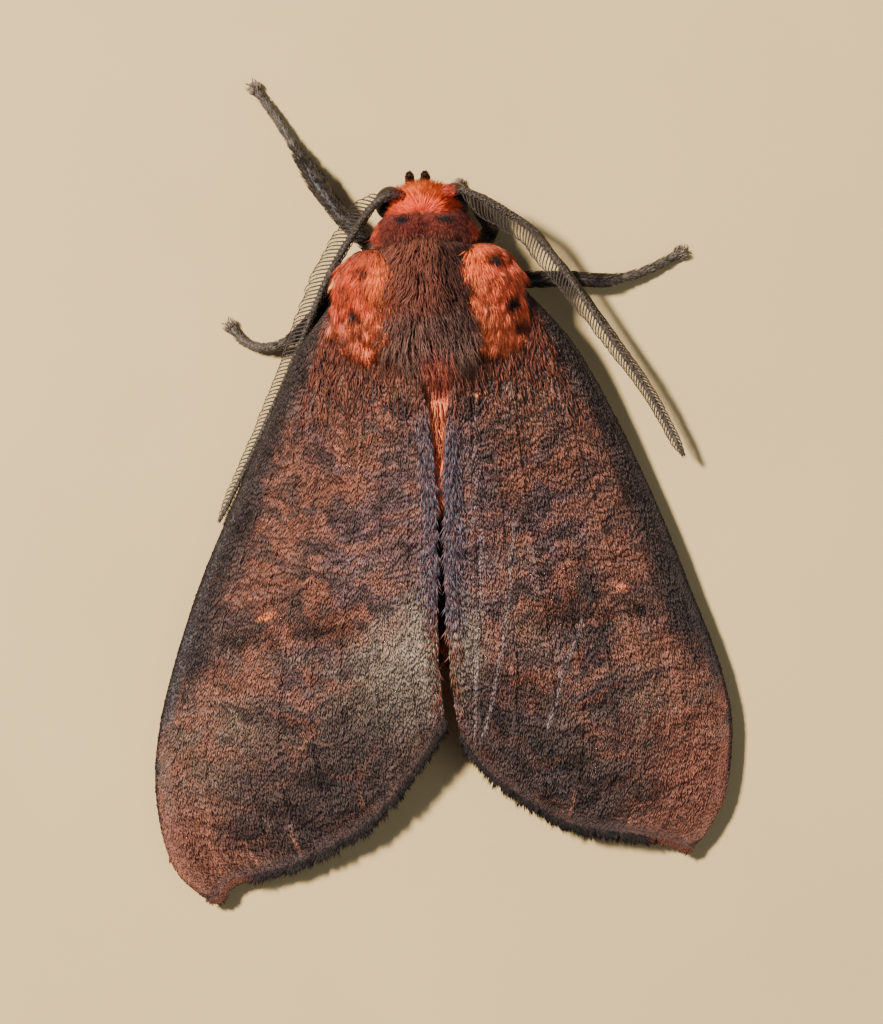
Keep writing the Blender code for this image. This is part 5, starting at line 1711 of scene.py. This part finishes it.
# %% Coat for a tube
def tube_coat(path, radii, count, rng, length, width, rise, colours, low=0.0, high=1.0,
              reference=(0, 0, 1)):
    """Tufts round a tube, leaning along it. colours gives a tint for each share of its length."""
    along, side, top = path_frame(path, np.asarray(reference, float))
    share = rng.uniform(low, high, count)
    station = share * (len(path) - 1)
    i = np.clip(station.astype(int), 0, len(path) - 2)
    part = (station - i)[:, None]
    turn = rng.uniform(0, 2 * np.pi, (count, 1))
    centre = path[i] * (1 - part) + path[i + 1] * part
    out = unit(np.cos(turn) * side[i] + np.sin(turn) * top[i])
    radius = np.interp(share, np.linspace(0, 1, len(path)), radii)[:, None]
    places = centre + out * radius
    lie = wisps(places, along[i], 0.4, 97, 0.25)
    tint = colours(share) * rng.uniform(0.6, 1.4, (count, 1))
    reach = rng.uniform(*length, count)
    wide = rng.uniform(*width, count)
    return tufts(places, out, lie, share, turn[:, 0] / (2 * np.pi), reach, wide, rise, tint, rng)


# %% [markdown]
# ## Face
#
# Two short palps rise in front of the face, red haired with dark tips, on each side of a small
# coiled tongue. The base joint of each feeler is a knob with orange hair on it, and the rim of short
# hair round each eye hides where the ball meets the head.

# %% Palps
PALP_MIDDLE = 0.2
PALP_APART = 0.38
PALP_LINE = [(-14.2, 1.9), (-14.6, 2.35), (-14.85, 2.95), (-15.0, 3.6)]
PALP_RADII = [0.18, 0.19, 0.17, 0.1]
PALP_RED = np.array([0.55, 0.1, 0.04])
PALP_STEPS = 40
FACE_TUFTS = 420


def palp_tint(share):
    """Red hair that turns black towards the palp's tip."""
    return blend(plain(PALP_RED, share.shape), BLACK * 2, 0.9 * above(share, 0.55, 0.2))


rng = np.random.default_rng(109)
for word, sign in SIDES.items():
    line = [(PALP_MIDDLE + sign * PALP_APART, y, z) for y, z in PALP_LINE]
    path = smooth_path(line, PALP_STEPS)
    share = np.linspace(0, 1, PALP_STEPS)
    radii = np.interp(share, np.linspace(0, 1, 4), PALP_RADII) * np.clip((1 - share) * 12 + 0.3, 0, 1)
    # Painted shade: the palp's skin is painted darker than its hair, as the shade among the hairs.
    core = tube(path, radii, 12, (1, 0, 0), colours=palp_tint(share) * 0.5)
    piece(f"palp_{word}_skin", core, BODY_SKIN, (f"palp_{word}",))
    hair = tube_coat(path, radii, FACE_TUFTS, rng, (0.16, 0.3), (0.03, 0.05), 0.35, palp_tint,
                     0.0, 0.97, reference=(1, 0, 0))
    piece(f"palp_{word}_coat", hair, BODY_COAT)

# %% [markdown]
# ## Tongue
#
# A resting moth rolls its tongue up like a watch spring under the face. A spiral whose radius
# shrinks steadily with its turn is that shape, and a tube along it is all it needs.

# %% Tongue
turns = np.linspace(0, 1, 120)
coil = 0.34 * (1 - 0.75 * turns)
angle = 2 * np.pi * 2.4 * turns + 1.2
spiral = [PALP_MIDDLE + 0 * turns, -14.45 - coil * np.cos(angle), 2.35 + coil * np.sin(angle)]
tongue_colours = plain(PALP_RED * 0.4, turns.shape)
tongue = tube(np.stack(spiral, axis=1), 0.06 * (1 - 0.4 * turns), 10, (1, 0, 0), colours=tongue_colours)
piece("tongue", tongue, BODY_SKIN)

# %% [markdown]
# ## Feeler bases
#
# The first joint of a feeler is a thick knob in the head's coat. A short tube from the head to the
# shaft's first places, widest in its middle, hides where the thin shaft begins.

# %% Feeler bases
KNOB_STEPS = 30
KNOB_COLOURS = {"left": (DEEP_ORANGE * 0.5, 0.5), "right": (DEEP_ORANGE * 0.85, 0.8)}


def knob_tint(word):
    """The tint along a feeler's base joint: orange, and dark brown past a share of its length."""
    orange, dark_from = KNOB_COLOURS[word]

    def tint(share):
        return blend(plain(orange, share.shape), DARK_BROWN, above(share, dark_from, 0.3))

    return tint


scapes = []
for word, sign in SIDES.items():
    start = smooth_path(ANTENNA_PATHS[word], 400)
    path = smooth_path([(sign * 0.8, -13.75, 4.3), start[0], start[7], start[14]], KNOB_STEPS)
    share = np.linspace(0, 1, KNOB_STEPS)
    radii = np.interp(share, [0, 0.35, 0.7, 1], [0.2, 0.25, 0.22, 0.12])
    tint = knob_tint(word)
    # Painted shade: the knob's skin is painted darker than its hair, as the shade among the hairs.
    knob = tube(path, radii, 14, colours=tint(share) * 0.6)
    piece(f"feeler_base_{word}", knob, BODY_SKIN)
    scapes.append(tube_coat(path, radii, FACE_TUFTS, rng, (0.14, 0.28), (0.03, 0.05), 0.3, tint, 0.02, 0.98))
piece("feeler_base_coat", joined(scapes), BODY_COAT)


# %% [markdown]
# ## Hair round the eyes
#
# Where a smooth ball meets a furry head the line between them would look cut out. A ring of short
# hair that leans over the ball's edge makes it soft, red above and dark below.

# %% Hair round the eyes
def eye_rim(sign, count, rng):
    """Short hair set in a ring on the head round an eye, leaning out over its rim."""
    centre = EYE_CENTRE * [sign, 1, 1]
    a = rng.uniform(0, 2 * np.pi, count)
    inner = np.array([sign * 0.42, 0.0, 0.0])
    around = np.stack([0 * a, np.cos(a), np.sin(a)], axis=1)
    places = centre - inner + around * 0.78
    out = unit(around + [sign * 0.5, 0, 0])
    lie = np.stack([np.full(count, sign * 1.0), 0.5 * np.cos(a), 0.5 * np.sin(a)], axis=1)
    u, v = np.full(count, 0.1), a / (2 * np.pi)
    top = above(np.sin(a), 0.1, 0.5)[:, None]
    tint = (HEAD_RED * top + DARK_BROWN * (1 - top)) * rng.uniform(0.6, 1.4, (count, 1))
    length = rng.uniform(0.22, 0.42, count)
    return tufts(places, out, lie, u, v, length, rng.uniform(0.035, 0.055, count), 0.35, tint, rng)


RIM_TUFTS = 700
rng = np.random.default_rng(110)
rims = [eye_rim(sign, RIM_TUFTS, rng) for sign in SIDES.values()]
piece("eye_rims", joined(rims), BODY_COAT)

# %% [markdown]
# ## Legs
#
# Six legs carry the moth on the floor. Each has a thick thigh, a shin, and a foot of five small
# joints that ends in two hooked claws with a pad between them. The thigh and shin are shaggy, the
# foot is closely scaled and paler, and the shins bear a pair of spurs.

# %% Leg paths
LEG_PATHS = {
    "front_left": [
        (1.2, -11, 2.6, 0.5), (2.6, -11.7, 2.1, 0.5), (3.75, -12.9, 1.9, 0.5), (4.5, -13.9, 1.8, 0.5),
        (5.2, -15.05, 1.6, 0.58), (5.85, -16.2, 1.15, 0.36), (6.35, -17.15, 0.85, 0.26),
        (7.15, -18.6, 0.5, 0.25), (8.1, -20.05, 0.3, 0.25),
    ],
    "front_right": [
        (-1.2, -11, 2.6, 0.5), (-2.5, -11.4, 2, 0.5), (-3.2, -12.2, 1.5, 0.42), (-2.75, -13.2, 1, 0.32),
        (-2.1, -14.1, 0.6, 0.26), (-1.8, -14.55, 0.3, 0.25),
    ],
    "mid_left": [
        (2.2, -9.7, 2.4, 0.5), (4, -9.5, 1.9, 0.5), (4.9, -9.05, 1.75, 0.46), (6.1, -7.95, 1.5, 0.38),
        (7.1, -7.25, 1.2, 0.3), (8.2, -7.05, 0.85, 0.26), (9.2, -7.4, 0.5, 0.25), (9.95, -8.3, 0.3, 0.25),
    ],
    "mid_right": [
        (-2.2, -9.7, 2.4, 0.5), (-3.9, -9.65, 1.95, 0.5), (-5.3, -9.6, 1.75, 0.46), (-7, -9.55, 1.55, 0.4),
        (-8.5, -9.4, 1.25, 0.36), (-9.4, -9.45, 0.95, 0.28), (-10.4, -9.65, 0.65, 0.26),
        (-11.6, -10.1, 0.45, 0.25), (-12.7, -10.65, 0.3, 0.25),
    ],
    "hind_left": [
        (1.4, -8, 2.2, 0.5), (3, -6.6, 1.9, 0.5), (4.2, -4.4, 1.75, 0.42), (4.9, -1, 1.5, 0.4),
        (5.2, 2.6, 1.15, 0.36), (5.2, 5.4, 0.75, 0.27), (5.1, 8, 0.45, 0.25), (4.9, 10, 0.3, 0.25),
    ],
}
LEG_PATHS["hind_right"] = [(-x, y, z, r) for x, y, z, r in LEG_PATHS["hind_left"]]
print(len(LEG_PATHS), "legs")
FOOT_START = {
    "front_left": 0.66, "front_right": 0.6, "mid_left": 0.6, "mid_right": 0.62, "hind_left": 0.66,
    "hind_right": 0.66,
}
LEG_STEPS = 160
HARD_LEG = 0.78
LEG_BROWN = np.array([0.04, 0.029, 0.022])
FOOT_PALE = np.array([0.1, 0.075, 0.055])
FOOT_TIP = np.array([0.3, 0.22, 0.16])
LEG_COAT = finish("leg coat", roughness=0.85, speck=5000, grain_size=9000, specular=0.12)
CLAW = finish("claw", (0.06, 0.03, 0.015), roughness=0.35, speck=6000, coat=0.3, specular=0.5)
LEG_SKIN = finish("leg skin", roughness=0.55, speck=5000, grain_size=9000, specular=0.35)


def claws(path, side):
    """Two hooks that leave the foot's end outwards and bend down to the floor."""
    end = path[-1]
    way = unit((path[-1] - path[-8]) * [1, 1, 0])
    hooks = []
    for hand in (-1, 1):
        q = np.linspace(0, 1, 14)[:, None]
        out = way + hand * side * 0.75
        bend = 0.1 * np.sin(q * np.pi) - 0.22 * q
        hook = end + out * 0.32 * np.sin(q * 1.5) + np.array([0, 0, 1]) * bend
        hook[:, 2] = np.maximum(hook[:, 2], 0.045)
        hooks.append(tube(hook, 0.045 * (1.1 - 0.9 * q[:, 0]), 8, side))
    return joined(hooks)


def spurs(place, along, side, top):
    """Two short spikes at the end of the shin, slanting on along the leg and apart."""
    q = np.linspace(0, 1, 10)[:, None]
    lines = [place + (along * 0.62 + hand * side * 0.3 - top * 0.12) * q for hand in (-1, 1)]
    return joined([tube(line, 0.065 * (1.05 - 0.85 * q[:, 0]), 8) for line in lines])


# %% [markdown]
# ## Leg colours
#
# A leg is dark brown to the shin and paler on the foot, so its tint is a function of the share
# along it. Each leg's foot starts at its own share, and so each leg gets its own tint function.

# %% Leg colours
def leg_tint(start):
    """The tint along a leg whose foot starts at this share: brown, paler on the foot, mottled."""
    def tint(share):
        base = blend(plain(LEG_BROWN, share.shape), FOOT_PALE, above(share, start, 0.12))
        return mottled(base, np.stack([share * 60, 0 * share, 0 * share], axis=-1), 99, 0.4, 1.5)

    return tint


def tip_tint(share):
    """The pale hair at the foot's end, brighter over the last bit."""
    return plain(FOOT_TIP, share.shape) * (0.5 + 25 * np.clip(share - 0.96, 0, 0.02))[:, None]


# %% [markdown]
# ## Legs, their hair and their claws
#
# Each leg is a hard tube with three lots of tufts: shaggy to the shin, close on the foot, and a
# flare of pale hair round the claws. All six go into one piece of each kind, as no leg moves.

# %% Legs, their hair and their claws
rng = np.random.default_rng(111)
legs, leg_hair, feet = [], [], []
share = np.linspace(0, 1, LEG_STEPS)
tip_round = np.where(share > 0.985, np.sqrt(np.clip((1 - share) / 0.015, 0.1, 1)), 1)
for word, points in LEG_PATHS.items():
    drawn = smooth_path(points, LEG_STEPS)
    path, radii = drawn[:, :3], drawn[:, 3] * HARD_LEG
    start = FOOT_START[word]
    tint = leg_tint(start)
    joints = np.clip((share - start) / (1 - start), 0, 1) * 5
    waist = 1 - 0.2 * np.exp(-(((joints + 0.5) % 1 - 0.5) / 0.12) ** 2) * (joints > 0)
    radii = radii * waist * tip_round
    # Painted shade: the hard leg is painted darker than its hair, as the shade among the hairs.
    legs.append(tube(path, radii, 16, colours=tint(share) * 0.8))
    shaggy = tube_coat(path, radii, 950, rng, (0.25, 0.48), (0.05, 0.075), 0.2, tint, 0.08, start)
    close = tube_coat(path, radii, 600, rng, (0.18, 0.32), (0.04, 0.06), 0.22, tint, start, 0.985)
    flare = tube_coat(path, radii, 150, rng, (0.2, 0.3), (0.035, 0.06), 0.95, tip_tint, 0.96, 0.995)
    leg_hair += [shaggy, close, flare]
    along, side, top = path_frame(path, np.array([0.0, 0.0, 1.0]))
    pad = ball(path[-1] + [0, 0, -0.1], np.array([0.17, 0.17, 0.16]), 16, 20)
    knee = int(start * (LEG_STEPS - 1))
    feet += [claws(path, side[-1]), pad, spurs(path[knee], along[knee], side[knee], top[knee])]
leg_nodes = [f"leg_{word}" for word in LEG_PATHS]
piece("legs", joined(legs), LEG_SKIN, leg_nodes)
piece("leg_hair", joined(leg_hair), LEG_COAT)
piece("claws_and_pads", joined(feet), CLAW)

# %% [markdown]
# ## Floor, light and camera
#
# The moth is shown as on a plain pale table. A broad soft lamp stands at the upper left of the
# picture, as the shadows in the photograph fall to the right at about two thirds of the height
# above them, with a weak fill and a pale surround. The camera looks straight down, turned so that
# the head is at the top, from far enough away that the moth's height hardly spreads its outline.

# %% Floor
FLOOR_HALF = 0.6
FLOOR = finish("floor", (0.61, 0.42, 0.185), roughness=0.85, speck=60, spread=(0.96, 1.03))

floor_mesh = bpy.data.meshes.new("floor")
floor_corners = [(FLOOR_HALF * x, FLOOR_HALF * y, 0) for x, y in ((-1, -1), (1, -1), (1, 1), (-1, 1))]
floor_mesh.from_pydata(floor_corners, [], [(0, 1, 2, 3)])
floor_mesh.materials.append(FLOOR)
floor = bpy.data.objects.new("floor", floor_mesh)
bpy.context.scene.collection.objects.link(floor)
print("floor", 2 * FLOOR_HALF, "m wide")

# %% [markdown]
# ## Lamps
#
# A broad lamp gives soft shadow edges, which show the coat's depth without black gaps in it. The
# fill from the other side is weak and slightly blue, like light from a window's sky.

# %% Lamps
def lamp(name, place, size, power, colour):
    """A square area lamp at a place in millimetres, aimed at the moth's middle."""
    data = bpy.data.lights.new(name, "AREA")
    data.size = size * MM
    data.energy = power
    data.color = colour
    obj = bpy.data.objects.new(name, data)
    place = np.array(place, float)
    back = unit(place - np.array([0, 0, 3.0]))
    side = unit(np.cross([0.1, 1, 0], back))
    up = np.cross(back, side)
    turn = np.eye(4)
    turn[:3, 0], turn[:3, 1], turn[:3, 2], turn[:3, 3] = side, up, back, place * MM
    obj.matrix_world = Matrix(turn.tolist())
    bpy.context.scene.collection.objects.link(obj)


lamp("key", (190, -110, 330), 48, 4.35, (1.0, 0.97, 0.92))
lamp("fill", (-260, 120, 300), 300, 0.35, (0.8, 0.9, 1.0))
world = bpy.data.worlds.new("surround")
world.use_nodes = True
background = world.node_tree.nodes["Background"]
background.inputs["Color"].default_value = (0.55, 0.72, 1.0, 1)
background.inputs["Strength"].default_value = 0.18
bpy.context.scene.world = world
print(len(bpy.data.lights), "lamps")

# %% [markdown]
# ## Camera
#
# A long lens from far above keeps the outline true, as the photograph does. The lens follows from
# the distance and the height of the picture, so that one number sets how much the view takes in.

# %% Camera
CAMERA_DISTANCE = 260.0
CAMERA_AIM = (-0.587, 1.623, 3)
VIEW_HEIGHT = 50.2
FILM_SIZE = 36
TURN = math.atan(0.0576)

camera_data = bpy.data.cameras.new("camera")
camera_data.lens = FILM_SIZE * CAMERA_DISTANCE / VIEW_HEIGHT
camera_data.clip_start = 0.01
camera_data.clip_end = 5
camera = bpy.data.objects.new("camera", camera_data)
right = (-math.cos(TURN), math.sin(TURN), 0)
up = (-math.sin(TURN), -math.cos(TURN), 0)
place = (CAMERA_AIM[0] * MM, CAMERA_AIM[1] * MM, (CAMERA_DISTANCE + CAMERA_AIM[2]) * MM)
camera.matrix_world = Matrix([
    [right[0], up[0], 0, place[0]],
    [right[1], up[1], 0, place[1]],
    [0, 0, 1, place[2]],
    [0, 0, 0, 1],
])
bpy.context.scene.collection.objects.link(camera)
bpy.context.scene.camera = camera
print("camera lens", round(camera_data.lens, 1), "mm")
